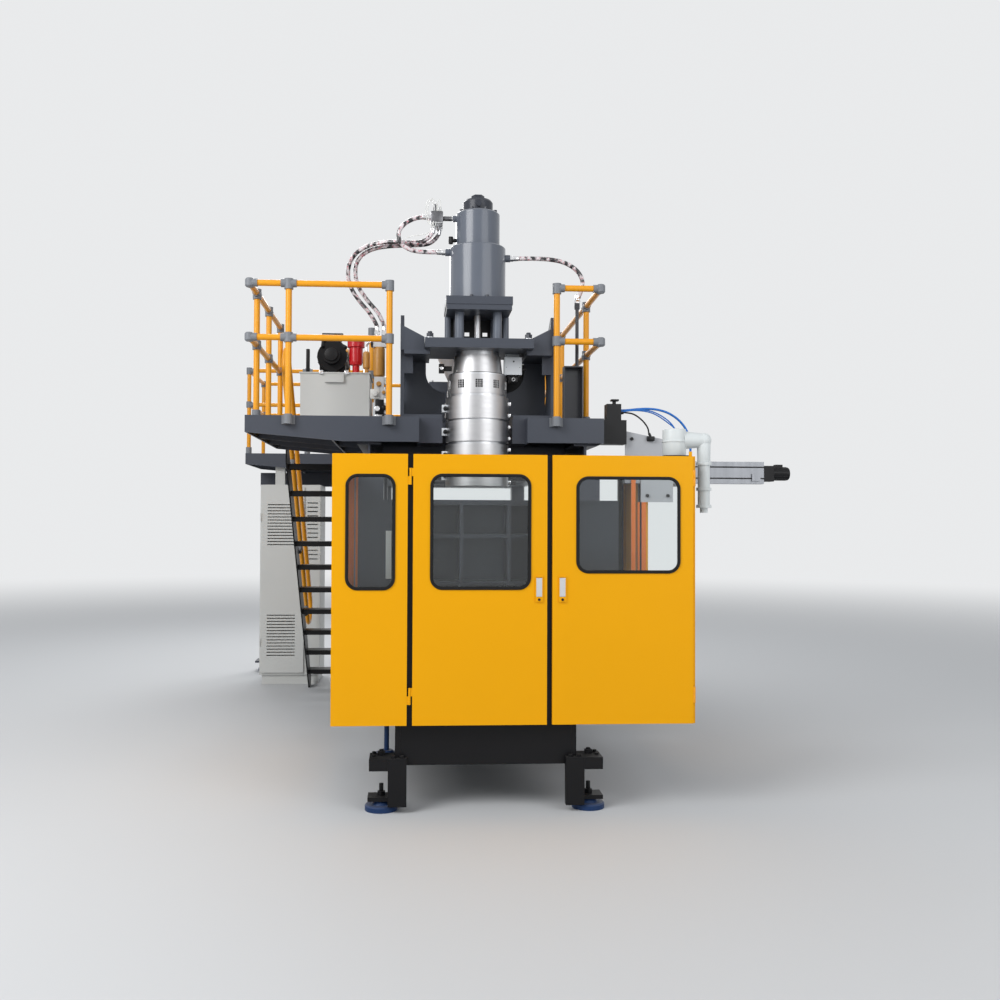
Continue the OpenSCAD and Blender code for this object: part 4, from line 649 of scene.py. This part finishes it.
def add_terminal_box(boxes, glands, z):
    """Box on a band, with the gland of its cable."""
    front, rear = TERMINAL_Y
    add_box(boxes, (TERMINAL_X[0], front, z - 26), (TERMINAL_X[1], rear, z + 26), bevel=2)
    add_rod(glands, (GLAND_X, front, z), (GLAND_X, front - 14, z), 30, bevel=2)
    add_rod(glands, (GLAND_X, front - 12, z), (GLAND_X, front - 30, z), 16, bevel=2)


def add_seam_clamp(mesh, z):
    """Two lugs on the seam of a band, drawn together by a bolt."""
    near, far = LUG_Y
    for side in (-1, 1):
        add_box(mesh, (LUG_X[0], side * near, z - 12), (LUG_X[1], side * far, z + 12), bevel=1.5)
        add_bolt(mesh, (CLAMP_BOLT_X, side * far, z), (0, side, 0), 13)
    add_rod(mesh, (CLAMP_BOLT_X, -24, z), (CLAMP_BOLT_X, 24, z), 7, sides=12)


def make_band_fittings():
    boxes, glands, clamps = new_meshes(3)
    for middle in BAND_MIDDLES:
        add_terminal_box(boxes, glands, middle)
        add_seam_clamp(clamps, middle - CLAMP_RISE)
        add_seam_clamp(clamps, middle + CLAMP_RISE)
    piece("band_terminal_boxes", boxes, BOX_GREY)
    piece("band_terminal_glands", glands, BLACK_PLASTIC)
    piece("band_seam_clamps", clamps, LATCH)


# Gaps between the bands, and the diameter of the dark rings in them, which paint the shade in the
# gaps
BAND_GAPS = ((2088, 2094), (2236, 2252), (2394, 2406), (2560, 2576), (2707, 2722))
GAP_SHADE_D = 2 * BAND_R - 46


def make_band_gaps():
    """Dark rings of painted shade at the gaps between the bands; only the top one reaches past the
    head's body.
    """
    mesh = bmesh.new()
    for low, high in BAND_GAPS:
        add_rod(mesh, (0, 0, low), (0, 0, high), GAP_SHADE_D, sides=72)
    piece("band_gap_shade_rings", mesh, BLACK_PLASTIC)


# Vent windows of the ring under the cover: wire grids over dark backs, which paint the shade of the
# hollows behind them
VENT_COUNT = 10
VENT_FIRST = 18
VENT_Z = (2615, 2671)
RING_R = 203.5
GRID_R = RING_R - 0.8
GRID_SHIFTS = (-12, 0, 12)
GRID_ROWS = (2629, 2643, 2657)
GRID_HALF = 24
WIRE_D = 2.5
BACK_R = RING_R - 2.4
BACK_T = 0.6
BACK_W = 47.6


def make_vent_grids():
    bars, backs = new_meshes(2)
    for k in range(VENT_COUNT):
        turn = math.radians(VENT_FIRST + k * 360 / VENT_COUNT)
        out = Vector((math.cos(turn), math.sin(turn)))
        side = Vector((-out.y, out.x))
        for shift in GRID_SHIFTS:
            post = out * GRID_R + side * shift
            add_rod(bars, (*post, VENT_Z[0]), (*post, VENT_Z[1]), WIRE_D, sides=8)
        ends = (out * GRID_R - side * GRID_HALF, out * GRID_R + side * GRID_HALF)
        for z in GRID_ROWS:
            add_rod(bars, (*ends[0], z), (*ends[1], z), WIRE_D, sides=8)
        # Thin dark back behind each window: painted shade for the hollow behind the grid
        made = bmesh.ops.create_cube(backs, size=1.0)
        size = Matrix.Diagonal((BACK_T * MM, BACK_W * MM, (VENT_Z[1] - VENT_Z[0]) * MM, 1))
        place = Matrix.Translation(at(*(out * BACK_R), sum(VENT_Z) / 2))
        move(backs, made["verts"], place @ Matrix.Rotation(turn, 4, "Z") @ size)
    piece("ring_vent_shade_backs", backs, BLACK_PLASTIC)
    piece("ring_vent_grids", bars, BAND_STEEL)


# Nuts of the lower plate's corner studs, and bolt circles: count, radius, width, height
STUD_X = 332
STUD_Y = 212
BOLT_CIRCLES = {"push_cylinder": (8, 126, 24, 16), "upper_plate": (12, 206, 22, 14)}


def top_of(name):
    """Height just over the top of a node, in millimetres."""
    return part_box(name)[1].z / MM + 0.2


def make_head_bolts():
    bolts, washers = new_meshes(2)
    plate = top_of("lower_plate")
    for x in (-STUD_X, STUD_X):
        for y in (-STUD_Y, STUD_Y):
            add_rod(washers, (x, y, plate), (x, y, plate + 6), 60, bevel=1)
            add_bolt(bolts, (x, y, plate + 6), UP, 46, 26)
            add_rod(bolts, (x, y, plate + 31), (x, y, plate + 46), 30, bevel=2)
    for node, (count, radius, width, tall) in BOLT_CIRCLES.items():
        for k in range(count):
            add_bolt(bolts, polar(radius, (k + 0.5) * 360 / count, top_of(node)), UP, width, tall)
    piece("head_bolts", bolts, DARK_SLATE)
    piece("head_washers", washers, TURNED_STEEL)


def make_junction_box_parts():
    """Round plug and four screws on the lid, and the cable glands below."""
    low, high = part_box("junction_box")
    x = (low.x + high.x) / 2 / MM
    front = (low.y - DIE_Y) / MM
    foot = low.z / MM
    z = high.z / MM - 60
    dark, glands = new_meshes(2)
    add_rod(dark, (x + 4, front - 0.2, z), (x + 4, front - 3, z), 12, bevel=1)
    for dz in (-40, 40):
        for dx in (-46, 46):
            add_rod(dark, (x + dx, front - 0.2, z + dz), (x + dx, front - 2, z + dz), 5, sides=10)
    for dx in (-30, 5, 40):
        place = (x + dx, front + 30)
        add_rod(glands, (*place, foot - 18), (*place, foot), 22, bevel=2)
        add_rod(glands, (*place, foot - 34), (*place, foot - 17), 14, bevel=2)
    piece("junction_box_screws", dark, BLACK_PLASTIC)
    piece("junction_box_glands", glands, BLACK_PLASTIC)


# Thin sensor wires that rise over the upper valve block and hang in loops beside it
TOP_WIRES = (
    [(-300, -44, 3850), (-308, -52, 3890), (-330, -58, 3920), (-354, -58, 3905), (-362, -56, 3860),
     (-360, -52, 3805), (-346, -50, 3765), (-322, -48, 3752), (-308, -44, 3776)],
    [(-285, -44, 3850), (-290, -54, 3896), (-318, -62, 3928), (-343, -62, 3892), (-350, -58, 3835),
     (-342, -52, 3780), (-320, -50, 3738), (-296, -48, 3748), (-292, -44, 3776)],
    [(-262, -44, 3850), (-260, -54, 3902), (-270, -58, 3924), (-282, -54, 3902), (-278, -44, 3850)],
    [(-308, -44, 3778), (-318, -50, 3722), (-352, -50, 3692), (-400, -46, 3680), (-452, -38, 3674),
     (-496, -20, 3666)],
)
SENSOR_WIRE_D = 5

# Fittings round the cover: X, Z of the sensor and the coupling; Y, Z of the gland and plug
SENSOR = (-248, 2762)
COUPLING = (246, 2688)
SADDLE_GLAND = (-26, 2762)
PORT_PLUG = (-24, 3652)


def make_head_fittings():
    """Sensor, coupling and gland round the cover, terminal cabinet behind, plug at the top."""
    black, steel = new_meshes(2)
    x, z = SENSOR
    add_box(black, (x - 19, -44, z - 31), (x + 19, -4, z + 31), bevel=3)
    add_box(black, (x + 16, -30, z - 17), (x + 72, -18, z + 17), bevel=1)
    add_rod(steel, (x, -44.2, z), (x, -52, z), 24, bevel=1)
    x, z = COUPLING
    add_box(black, (x - 31, -56, z - 19), (x + 30, -14, z + 20), bevel=4)
    add_rod(steel, (x, -56.2, z), (x, -70, z), 26, sides=6)
    add_rod(black, (x, -70, z), (x, -84, z), 16, bevel=2)
    y, z = SADDLE_GLAND
    add_rod(black, (304.2, y, z), (324, y, z), 36, bevel=3)
    add_rod(black, (322, y, z), (336, y, z), 22, bevel=2)
    # terminal cabinet with its cover, behind the saddle plate
    add_box(black, (225, 256, 2560), (500, 400, 2842), bevel=4)
    add_box(black, (240, 400, 2600), (480, 412, 2800), bevel=3)
    y, z = PORT_PLUG
    add_rod(black, (-150, y, z), (-192, y, z), 26, bevel=3)
    add_rod(black, (-188, y, z - 24), (-188, y, z + 26), 32, bevel=4)
    piece("head_black_fittings", black, BLACK_PLASTIC)
    piece("head_steel_fittings", steel, LATCH)


# Corners of the sleeve round the upper valve block
SLEEVE_LOW = (-327, -43, 3774)
SLEEVE_HIGH = (-243, 92, 3852)


def make_block_sleeve():
    """Dark sleeve of the upper valve block, with its unions where the two long hoses enter."""
    cover = bmesh.new()
    add_box(cover, SLEEVE_LOW, SLEEVE_HIGH, bevel=5)
    add_rod(cover, (-244, 0, 3810), (-182, 0, 3810), 33, bevel=2)
    for x, y, _ in (HOSE_A[-1], HOSE_B[-1]):
        add_rod(cover, (x, y, SLEEVE_LOW[2] - 18), (x, y, SLEEVE_LOW[2] + 1), 40, sides=6)
    add_rod(cover, (-295, 0, SLEEVE_HIGH[2] - 1), (-295, 0, 3908), 30, bevel=3)
    piece("upper_block_sleeve", cover, DARK_STEEL)


def make_sensor_wires():
    white = bmesh.new()
    for route in TOP_WIRES:
        add_tube(white, smooth_route(route), SENSOR_WIRE_D, sides=8)
    piece("sensor_wires", white, WHITE_PLASTIC)


# Take-out unit: bolts of its plate, air tubes and their sockets, and the drive at its end
PLATE_BOLTS = ((1080, 2150), (1080, 2290), (1190, 1895), (1335, 1895))
ELBOW_TUBE = [(1020, -20, 2474), (1090, -26, 2462), (1150, -30, 2420), (1188, -33, 2370),
              (1198, -33, 2328)]
SOCKET_X = 1436
SOCKET_FOOT = 2137.2
DRIVE_Y = 33
DRIVE_Z = 2056
DRIVE_RODS = 14
DRIVE_ROD_R = 46


def air_line(k):
    """Route of one of two thin air tubes, which part a little on their way down."""
    y = -12 - 14 * k
    return [(1001, y, 2484 - 8 * k), (1110, y, 2496 - 8 * k), (1230, y, 2482 - 14 * k),
            (1340, y, 2420 - 20 * k), (1400, y, 2340), (1430, y + 20, 2240),
            (SOCKET_X, 30 - 8 * k, 2138)]


def add_push_in_fittings(black):
    """Fittings of the air tubes on the plate and the bracket's post, and that post's knob."""
    add_box(black, (1185, -46, 2275), (1237, -21, 2308), bevel=4)
    add_rod(black, (1210, -33, 2306), (1198, -33, 2330), 18, bevel=2)
    add_rod(black, (1000, -20, 2470), (1022, -20, 2474), 24, bevel=3)
    add_rod(black, (960, 0, 2530), (960, 0, 2556), 26, bevel=4)
    add_box(black, (935, -24, 2553), (990, 24, 2566), bevel=3)
    add_tube(black, smooth_route(ELBOW_TUBE), 11)
    for y, top, wide in ((30, 2156, 22), (22, 2152, 20)):
        add_rod(black, (SOCKET_X, y, SOCKET_FOOT), (SOCKET_X, y, top), wide, bevel=3)


def add_drive_parts(black):
    """Round end cap, tie rods and flange bolts of the drive."""
    add_rod(black, (2206.2, DRIVE_Y, DRIVE_Z), (2214, DRIVE_Y, DRIVE_Z), 84, bevel=4)
    for k in range(DRIVE_RODS):
        dy, dz, _ = polar(DRIVE_ROD_R, k * 360 / DRIVE_RODS, 0)
        y, z = DRIVE_Y + dy, DRIVE_Z + dz
        add_rod(black, (2102, y, z), (2196, y, z), 6, sides=8)
    for z in (DRIVE_Z - 40, DRIVE_Z + 38):
        for y in (DRIVE_Y - 33, DRIVE_Y + 33):
            add_bolt(black, (2094.8, y, z), (1, 0, 0), 12, 6)


def make_takeout_parts():
    black, blue = new_meshes(2)
    for x, z in PLATE_BOLTS:
        add_bolt(black, (x, -20.2, z), FORWARD, 22, 9)
    add_push_in_fittings(black)
    add_drive_parts(black)
    for k in range(2):
        add_tube(blue, smooth_route(air_line(k)), 9)
    piece("takeout_black_fittings", black, BLACK_PLASTIC)
    piece("takeout_air_tubes", blue, BLUE_TUBE)


def make_corner_lug():
    """Lug above the corner of the right door."""
    lug = bmesh.new()
    add_box(lug, (1197, -1044, 2105.2), (1216, -1038, 2133), bevel=1)
    piece("guard_corner_lug", lug, GUARD_YELLOW)


# Sleeves on the hinges of the right door, in the paler rail yellow as a painted highlight of the
# light they catch
RIGHT_PIN_X = 1228.5
HINGE_LOWS = (643, 1926)
HINGE_TALL = 97
HINGE_WIDE = 15.6
PIN_Y = -1046


def make_hinge_sleeves():
    sleeves, door_sleeves = new_meshes(2)
    for z in HINGE_LOWS:
        middle = z + HINGE_TALL / 2
        add_rod(sleeves, (RIGHT_PIN_X, PIN_Y, z), (RIGHT_PIN_X, PIN_Y, middle), HINGE_WIDE, bevel=1)
        add_rod(door_sleeves, (RIGHT_PIN_X, PIN_Y, middle + 1), (RIGHT_PIN_X, PIN_Y, z + HINGE_TALL),
                HINGE_WIDE, bevel=1)
    # The paler rail yellow of the sleeves is a painted highlight for the light that the hinge
    # knuckles catch
    piece("right_hinge_sleeves", sleeves, RAIL_YELLOW)
    piece("right_door_hinge_sleeves", door_sleeves, RAIL_YELLOW, "right_door")


# Panel arm: its pin, the heights of the drum, and the elbow at its end
ARM_PIN = (1146, -900)
DRUM_Z = (2114, 2278)
SEAM_Z = (2196, 2208)
ARM_X = 1329
ARM_Z = 2212
ELBOW_FOOT = 2078


def make_arm_casting():
    mesh = bmesh.new()
    x, y = ARM_PIN
    add_rod(mesh, (x, y, DRUM_Z[0]), (x, y, DRUM_Z[1]), 142, sides=48, bevel=8)
    add_rod(mesh, (x, y, SEAM_Z[0]), (x, y, SEAM_Z[1]), 150, sides=48, bevel=2)
    add_rod(mesh, (x + 50, y, ARM_Z), (ARM_X - 14, y, ARM_Z), 112, 86, sides=40)
    add_ball(mesh, (ARM_X, y, ARM_Z), 92)
    add_rod(mesh, (ARM_X, y, ARM_Z), (ARM_X, y, ELBOW_FOOT), 82, 79, sides=40, bevel=2)
    piece("panel_arm_casting", mesh, ARM_GREY, "panel_arm")


# Lip of the left guide bar: its sides, front face and ends
LIP_X = (-805.8, -771)
LIP_FACE = -861
LIP_Z = (1232, 2092)

# Slots along the front of the take-out rail
SLOT_Z = (2020, 2099)
SLOT_X = (1010, 2022)


def make_guard_inner_parts():
    """Lip of the left guide bar, and dark strips in the slots of the take-out rail."""
    lip, pale, dark = new_meshes(3)
    add_box(lip, (LIP_X[0], LIP_FACE, LIP_Z[0]), (LIP_X[1], LIP_FACE + 10, LIP_Z[1]), bevel=1)
    add_box(pale, (-793, LIP_FACE - 1.5, LIP_Z[0] + 2), (-784, LIP_FACE - 0.2, LIP_Z[1] - 2))
    for z in SLOT_Z:
        add_box(dark, (SLOT_X[0], -8.6, z - 5), (SLOT_X[1], -6, z + 5))
    piece("left_bar_lip", lip, ORANGE)
    piece("left_bar_strip", pale, CLAMP_GREY)
    piece("rail_slot_strips", dark, BLACK_PLASTIC)


# Front feet: their studs, and the tops of the shoes and brackets
FOOT_X = 620
FOOT_Y = -900
SHOE_TOP = 84.2
BRACKET_TOP = 320.2


def make_foot_bolts():
    nuts = bmesh.new()
    for side in (-1, 1):
        x = side * FOOT_X
        for z, tall in ((SHOE_TOP, 70), (BRACKET_TOP, 34)):
            add_bolt(nuts, (x, FOOT_Y, z), UP, 44, 24)
            add_rod(nuts, (x, FOOT_Y, z + 23), (x, FOOT_Y, z + tall), 26, bevel=2)
        for y in (FOOT_Y - 38, FOOT_Y + 38):
            add_bolt(nuts, (x + side * 45, y, BRACKET_TOP), UP, 22, 12)
        for reach in (500, 550):
            add_bolt(nuts, (side * reach, FOOT_Y - 85, BRACKET_TOP), UP, 24, 14)
    piece("foot_nuts", nuts, BLACK)


# Sensor strip on the front platen, and the heights of its screws
STRIP_X = (-604, -570)
STRIP_FACE = -834
STRIP_SCREWS = (1392, 1508, 1624)


def make_platen_strip():
    strip = bmesh.new()
    add_box(strip, (STRIP_X[0], STRIP_FACE, 1363), (STRIP_X[1], -820.2, 1653), bevel=2)
    for z in STRIP_SCREWS:
        add_bolt(strip, (sum(STRIP_X) / 2, STRIP_FACE, z), FORWARD, 12, 5)
    piece("platen_sensor_strip", strip, WHITE_PLASTIC, "clamp_front")


# Extruder: middles of the barrel's bands, with a wider gap after the second
BARREL_BANDS = (650, 980, 1470, 1800, 2130, 2460)
BAND_TOP = 2908
BARREL_CLAMP_REACH = 110

# Motor and gearbox of the extruder: ribs, rings of the fan cover, and bolts
MOTOR_Z = 2720
MOTOR_RIB_R = 219
MOTOR_RIB_STEP = 9
MOTOR_END = 4460.2
FAN_RINGS = 7
MOTOR_BOLTS = 12
MOTOR_BOLT_R = 243
GEARBOX_TOP = 3090.2
GEARBOX_BOLTS_Y = (3040, 3200, 3400, 3560)


def add_barrel_clamp(mesh, y):
    """Two lugs on top of a band, drawn together by a bolt."""
    for side in (-1, 1):
        add_box(mesh, (side * 3, y - 14, BAND_TOP), (side * 12, y + 14, BAND_TOP + 16), bevel=1)
    add_rod(mesh, (-18, y, BAND_TOP + 9), (18, y, BAND_TOP + 9), 7, sides=10)


def make_heater_boxes():
    boxes = bmesh.new()
    for y in BARREL_BANDS:
        add_box(boxes, (-34, y - 30, BAND_TOP), (34, y + 30, BAND_TOP + 44), bevel=3)
    piece("heater_terminal_boxes", boxes, BOX_GREY)


def make_motor_ribs():
    """Cooling ribs, clear of the motor's box and feet, and rings of the fan cover."""
    ribs = bmesh.new()
    for k in range(360 // MOTOR_RIB_STEP):
        x, rise, _ = polar(MOTOR_RIB_R, k * MOTOR_RIB_STEP, 0)
        under_box = abs(x) < 125 and rise > 0
        if rise > -140 and not under_box:
            add_rod(ribs, (x, 3690, MOTOR_Z + rise), (x, 4300, MOTOR_Z + rise), 9, sides=8)
    for k in range(FAN_RINGS):
        add_rod(ribs, (0, MOTOR_END, MOTOR_Z), (0, MOTOR_END + 1.8 + k, MOTOR_Z), 400 - 56 * k,
                sides=48)
    piece("motor_ribs", ribs, SLATE)


def make_extruder_bolts():
    """Clamps of the bands, flange bolts of the motor, and the gearbox's bolts and filler cap."""
    bolts = bmesh.new()
    for y in BARREL_BANDS:
        add_barrel_clamp(bolts, y - BARREL_CLAMP_REACH)
        add_barrel_clamp(bolts, y + BARREL_CLAMP_REACH)
    for k in range(MOTOR_BOLTS):
        x, rise, _ = polar(MOTOR_BOLT_R, k * 360 / MOTOR_BOLTS, 0)
        add_bolt(bolts, (x, 3661.5, MOTOR_Z + rise), (0, 1, 0), 24)
    for x in (-250, 250):
        for y in GEARBOX_BOLTS_Y:
            add_bolt(bolts, (x, y, GEARBOX_TOP), UP, 26)
    add_rod(bolts, (0, 3300, GEARBOX_TOP), (0, 3300, 3120), 60, bevel=4)
    piece("extruder_bolts", bolts, TURNED_STEEL)


# Power unit: axis and ribs of its motor, top of the tank, middles of the gauge and the switch,
# front faces of the manifold and the block above it, and the two bent pipes
PUMP_X = -1041
PUMP_Z = 2926
PUMP_RIBS = 18
PUMP_RIB_R = 112
TANK_TOP = 2790.2
GAUGE_X = -640
GAUGE_Z = 2730
MANIFOLD_FACE = 350
BLOCK_FACE = 352
SWITCH = (-717, 2628)
SUPPLY_PIPE = [(-863, 543, 3000), (-863, 600, 3000), (-850, 640, 2990), (-820, 660, 2940),
               (-810, 660, 2860), (-810, 660, 2790)]
BOTTLE_PIPE = [(-784, 430, 2952), (-784, 430, 2985), (-770, 420, 3010), (-745, 410, 3015),
               (-735, 405, 3010)]


def add_tank_fittings(black, steel):
    """Sight tube, filler cap and the two latches of the tank."""
    add_box(black, (-1222, 420, TANK_TOP), (-1196, 446, 2962), bevel=4)
    add_rod(black, (-1180, 800, TANK_TOP), (-1180, 800, 2830), 70, bevel=4)
    for x in (-1123, -940):
        add_box(steel, (x, 383, 2774), (x + 28, 391.8, 2801), bevel=2)
        add_rod(steel, (x + 2, 387, 2798), (x + 26, 387, 2798), 10, sides=12)


def add_pump_fittings(black):
    """Cooling ribs, end cap and cable elbow of the motor, and the valve body over it."""
    for k in range(PUMP_RIBS):
        dx, dz, _ = polar(PUMP_RIB_R, k * 360 / PUMP_RIBS, 0)
        x, z = PUMP_X + dx, PUMP_Z + dz
        add_box(black, (x - 3.5, 560, z - 3.5), (x + 3.5, 790, z + 3.5))
    add_rod(black, (PUMP_X, 420, PUMP_Z), (PUMP_X, 441, PUMP_Z), 96, bevel=4)
    add_rod(black, (-1110, 505, 2990), (-1110, 560, 3050), 26, bevel=3)
    add_box(black, (-1120, 545, 3071.2), (-962, 640, 3104), bevel=6)
    add_rod(black, (-1148, 590, 3088), (-1119, 590, 3088), 22, bevel=3)
    add_rod(black, (-985, 560, 3020), (-940, 540, 2990), 34, bevel=4)


def add_gauge(steel, white):
    """Stem, case and dial of the pressure gauge over the valve block."""
    add_rod(steel, (GAUGE_X, 392, GAUGE_Z - 65), (GAUGE_X, 392, GAUGE_Z - 25), 14, bevel=1)
    add_rod(steel, (GAUGE_X, 372, GAUGE_Z), (GAUGE_X, 402, GAUGE_Z), 60, bevel=3)
    add_rod(white, (GAUGE_X, 370.5, GAUGE_Z), (GAUGE_X, 372.2, GAUGE_Z), 50)


def add_manifold_fittings(black, steel, white):
    """Strap, block, pressure switch and hand valves at the front, band at the bottle's foot."""
    add_box(black, (-751, 350, 2980), (-736, 440, 3012), bevel=3)
    add_box(black, (-716, 332, 2480), (-652, MANIFOLD_FACE - 0.2, 2588), bevel=5)
    x, z = SWITCH
    add_box(white, (x - 35, 336, z - 36), (x + 35, MANIFOLD_FACE - 0.2, z + 36), bevel=5)
    add_rod(white, (x, 336, z), (x, 318, z), 40, bevel=4)
    for z in (2460, 2520):
        add_rod(steel, (-700, MANIFOLD_FACE, z), (-700, 322, z), 40, bevel=2)
        add_bolt(steel, (-700, 322, z), FORWARD, 32, 10)
        add_rod(black, (-650, MANIFOLD_FACE, z + 8), (-650, 316, z + 8), 34, bevel=3)
    add_rod(black, (-690, 400, 2740), (-690, 400, 2757), 70, bevel=2)


def add_couplings(brass):
    """Brass couplings below the large gas bottle."""
    add_rod(brass, (-690, BLOCK_FACE, 2700), (-690, 322, 2700), 36, bevel=2)
    add_bolt(brass, (-690, 322, 2700), FORWARD, 30, 12)
    add_rod(brass, (-655, BLOCK_FACE, 2640), (-655, 330, 2640), 26, bevel=2)


def make_power_unit_parts():
    black, steel, white, brass = new_meshes(4)
    add_tank_fittings(black, steel)
    add_pump_fittings(black)
    add_gauge(steel, white)
    add_manifold_fittings(black, steel, white)
    add_couplings(brass)
    add_tube(steel, smooth_route(SUPPLY_PIPE), 22)
    add_tube(steel, smooth_route(BOTTLE_PIPE), 14)
    piece("power_unit_black_parts", black, BLACK_PLASTIC)
    piece("power_unit_steel_parts", steel, LATCH)
    piece("gauge_dial", white, WHITE_PLASTIC)
    piece("brass_couplings", brass, BRONZE)


def make_hose_ends():
    """Swivel nuts and ferrules at both ends of the hoses."""
    steel = bmesh.new()
    for route in (HOSE_A, HOSE_B, HOSE_C, LOOP_HOSE):
        for end, inner in ((route[0], route[1]), (route[-1], route[-2])):
            tip = Vector(end)
            out = (Vector(inner) - tip).normalized()
            add_rod(steel, tip + out * 0.3, tip + out * 22, 42, sides=6)
            add_rod(steel, tip + out * 21, tip + out * 60, 37, 34, bevel=2)
    piece("hose_ferrules", steel, LATCH)


# Door locks: the middle of each key cylinder and the door it rides on
LOCKS = {"centre_lock_trim": (301, "centre_door"), "right_lock_trim": (439, "right_door")}
LOCK_Z = 1255


def make_lock_trims():
    for name, (x, body) in LOCKS.items():
        mesh = bmesh.new()
        add_rod(mesh, (x, -1061.2, LOCK_Z), (x, -1062.5, LOCK_Z), 16, bevel=0.5)
        add_box(mesh, (x - 1.2, -1063.2, LOCK_Z - 6), (x + 1.2, -1062.4, LOCK_Z + 6))
        piece(name, mesh, BLACK_PLASTIC, body)


# Stage and light, in metres
FLOOR_SIZE = 400
FLOOR_DROP = 0.0005
FLOOR_TONE = (0.60, 0.61, 0.62)
FADE = (5.0, 24.0)
BACKDROP = (0.86, 0.87, 0.88)
BACKDROP_LEVEL = 0.95
SOFT_LIGHT = (0.93, 0.96, 1.0, 1.0)
SOFT_LEVEL = 0.5


def seen_ray(tree):
    """One for rays from the camera, a gloss or a pane, which show the backdrop; else zero."""
    path = tree.nodes.new("ShaderNodeLightPath")
    kinds = (path.outputs["Is Camera Ray"], path.outputs["Is Glossy Ray"])
    return calc(tree, "MAXIMUM", calc(tree, "MAXIMUM", *kinds), path.outputs["Is Transmission Ray"])


def make_floor_material():
    """Matt pale floor whose far part fades into the tone of the backdrop."""
    mat, nodes, links, shader = new_material("floor_pale")
    tree = mat.node_tree
    set_inputs(shader, {"Base Color": rgba(FLOOR_TONE), "Roughness": 0.7,
                        "Specular IOR Level": 0.2})
    length = nodes.new("ShaderNodeVectorMath")
    length.operation = "LENGTH"
    links.new(object_place(nodes), length.inputs[0])
    reach = nodes.new("ShaderNodeMapRange")
    reach.interpolation_type = "SMOOTHSTEP"
    set_inputs(reach, {"From Min": FADE[0], "From Max": FADE[1]})
    links.new(length.outputs["Value"], reach.inputs["Value"])
    glow = nodes.new("ShaderNodeEmission")
    set_inputs(glow, {"Color": rgba(BACKDROP), "Strength": BACKDROP_LEVEL})
    mix = nodes.new("ShaderNodeMixShader")
    links.new(calc(tree, "MULTIPLY", reach.outputs["Result"], seen_ray(tree)), mix.inputs[0])
    links.new(shader.outputs["BSDF"], mix.inputs[1])
    links.new(glow.outputs["Emission"], mix.inputs[2])
    links.new(mix.outputs["Shader"], nodes["Material Output"].inputs["Surface"])
    return mat


def make_stage():
    mesh = bmesh.new()
    bmesh.ops.create_grid(mesh, x_segments=1, y_segments=1, size=FLOOR_SIZE / 2)
    data = bpy.data.meshes.new("floor")
    mesh.to_mesh(data)
    mesh.free()
    floor = bpy.data.objects.new("floor", data)
    floor.location = (0, 0, -FLOOR_DROP)
    bpy.context.scene.collection.objects.link(floor)
    data.materials.append(make_floor_material())


def make_world():
    world = bpy.data.worlds.new("studio")
    bpy.context.scene.world = world
    world.use_nodes = True
    nodes, links = world.node_tree.nodes, world.node_tree.links
    nodes.clear()
    out = nodes.new("ShaderNodeOutputWorld")
    soft = nodes.new("ShaderNodeBackground")
    set_inputs(soft, {"Color": SOFT_LIGHT, "Strength": SOFT_LEVEL})
    seen = nodes.new("ShaderNodeBackground")
    set_inputs(seen, {"Color": rgba(BACKDROP), "Strength": BACKDROP_LEVEL})
    mix = nodes.new("ShaderNodeMixShader")
    links.new(seen_ray(world.node_tree), mix.inputs[0])
    links.new(soft.outputs[0], mix.inputs[1])
    links.new(seen.outputs[0], mix.inputs[2])
    links.new(mix.outputs[0], out.inputs["Surface"])


def add_lamp(name, place, aim, size, power):
    """Round soft lamp that faces the aim."""
    data = bpy.data.lights.new(name, "AREA")
    data.shape = "DISK"
    data.size = size
    data.energy = power
    lamp = bpy.data.objects.new(name, data)
    lamp.matrix_world = Matrix.Translation(place) @ turn_to(place - aim)
    bpy.context.scene.collection.objects.link(lamp)


def make_light():
    aim = at(100, 0, 1900)
    add_lamp("key", at(-5600, -5200, 6000), aim, 5.0, 470)
    add_lamp("fill", at(4200, -6200, 4200), aim, 5.5, 170)
    add_lamp("rear", at(-1500, 7500, 6800), at(0, 2500, 2000), 4.5, 330)


make_camera()
make_hoses()
finish_frame()
make_gaskets()
make_band_fittings()
make_band_gaps()
make_vent_grids()
make_head_bolts()
make_junction_box_parts()
make_head_fittings()
make_block_sleeve()
make_sensor_wires()
make_takeout_parts()
make_corner_lug()
make_hinge_sleeves()
make_arm_casting()
make_guard_inner_parts()
make_foot_bolts()
make_platen_strip()
make_heater_boxes()
make_motor_ribs()
make_extruder_bolts()
make_power_unit_parts()
make_hose_ends()
make_lock_trims()
make_stage()
make_world()
make_light()

scene = bpy.context.scene
scene.view_settings.view_transform = "Standard"
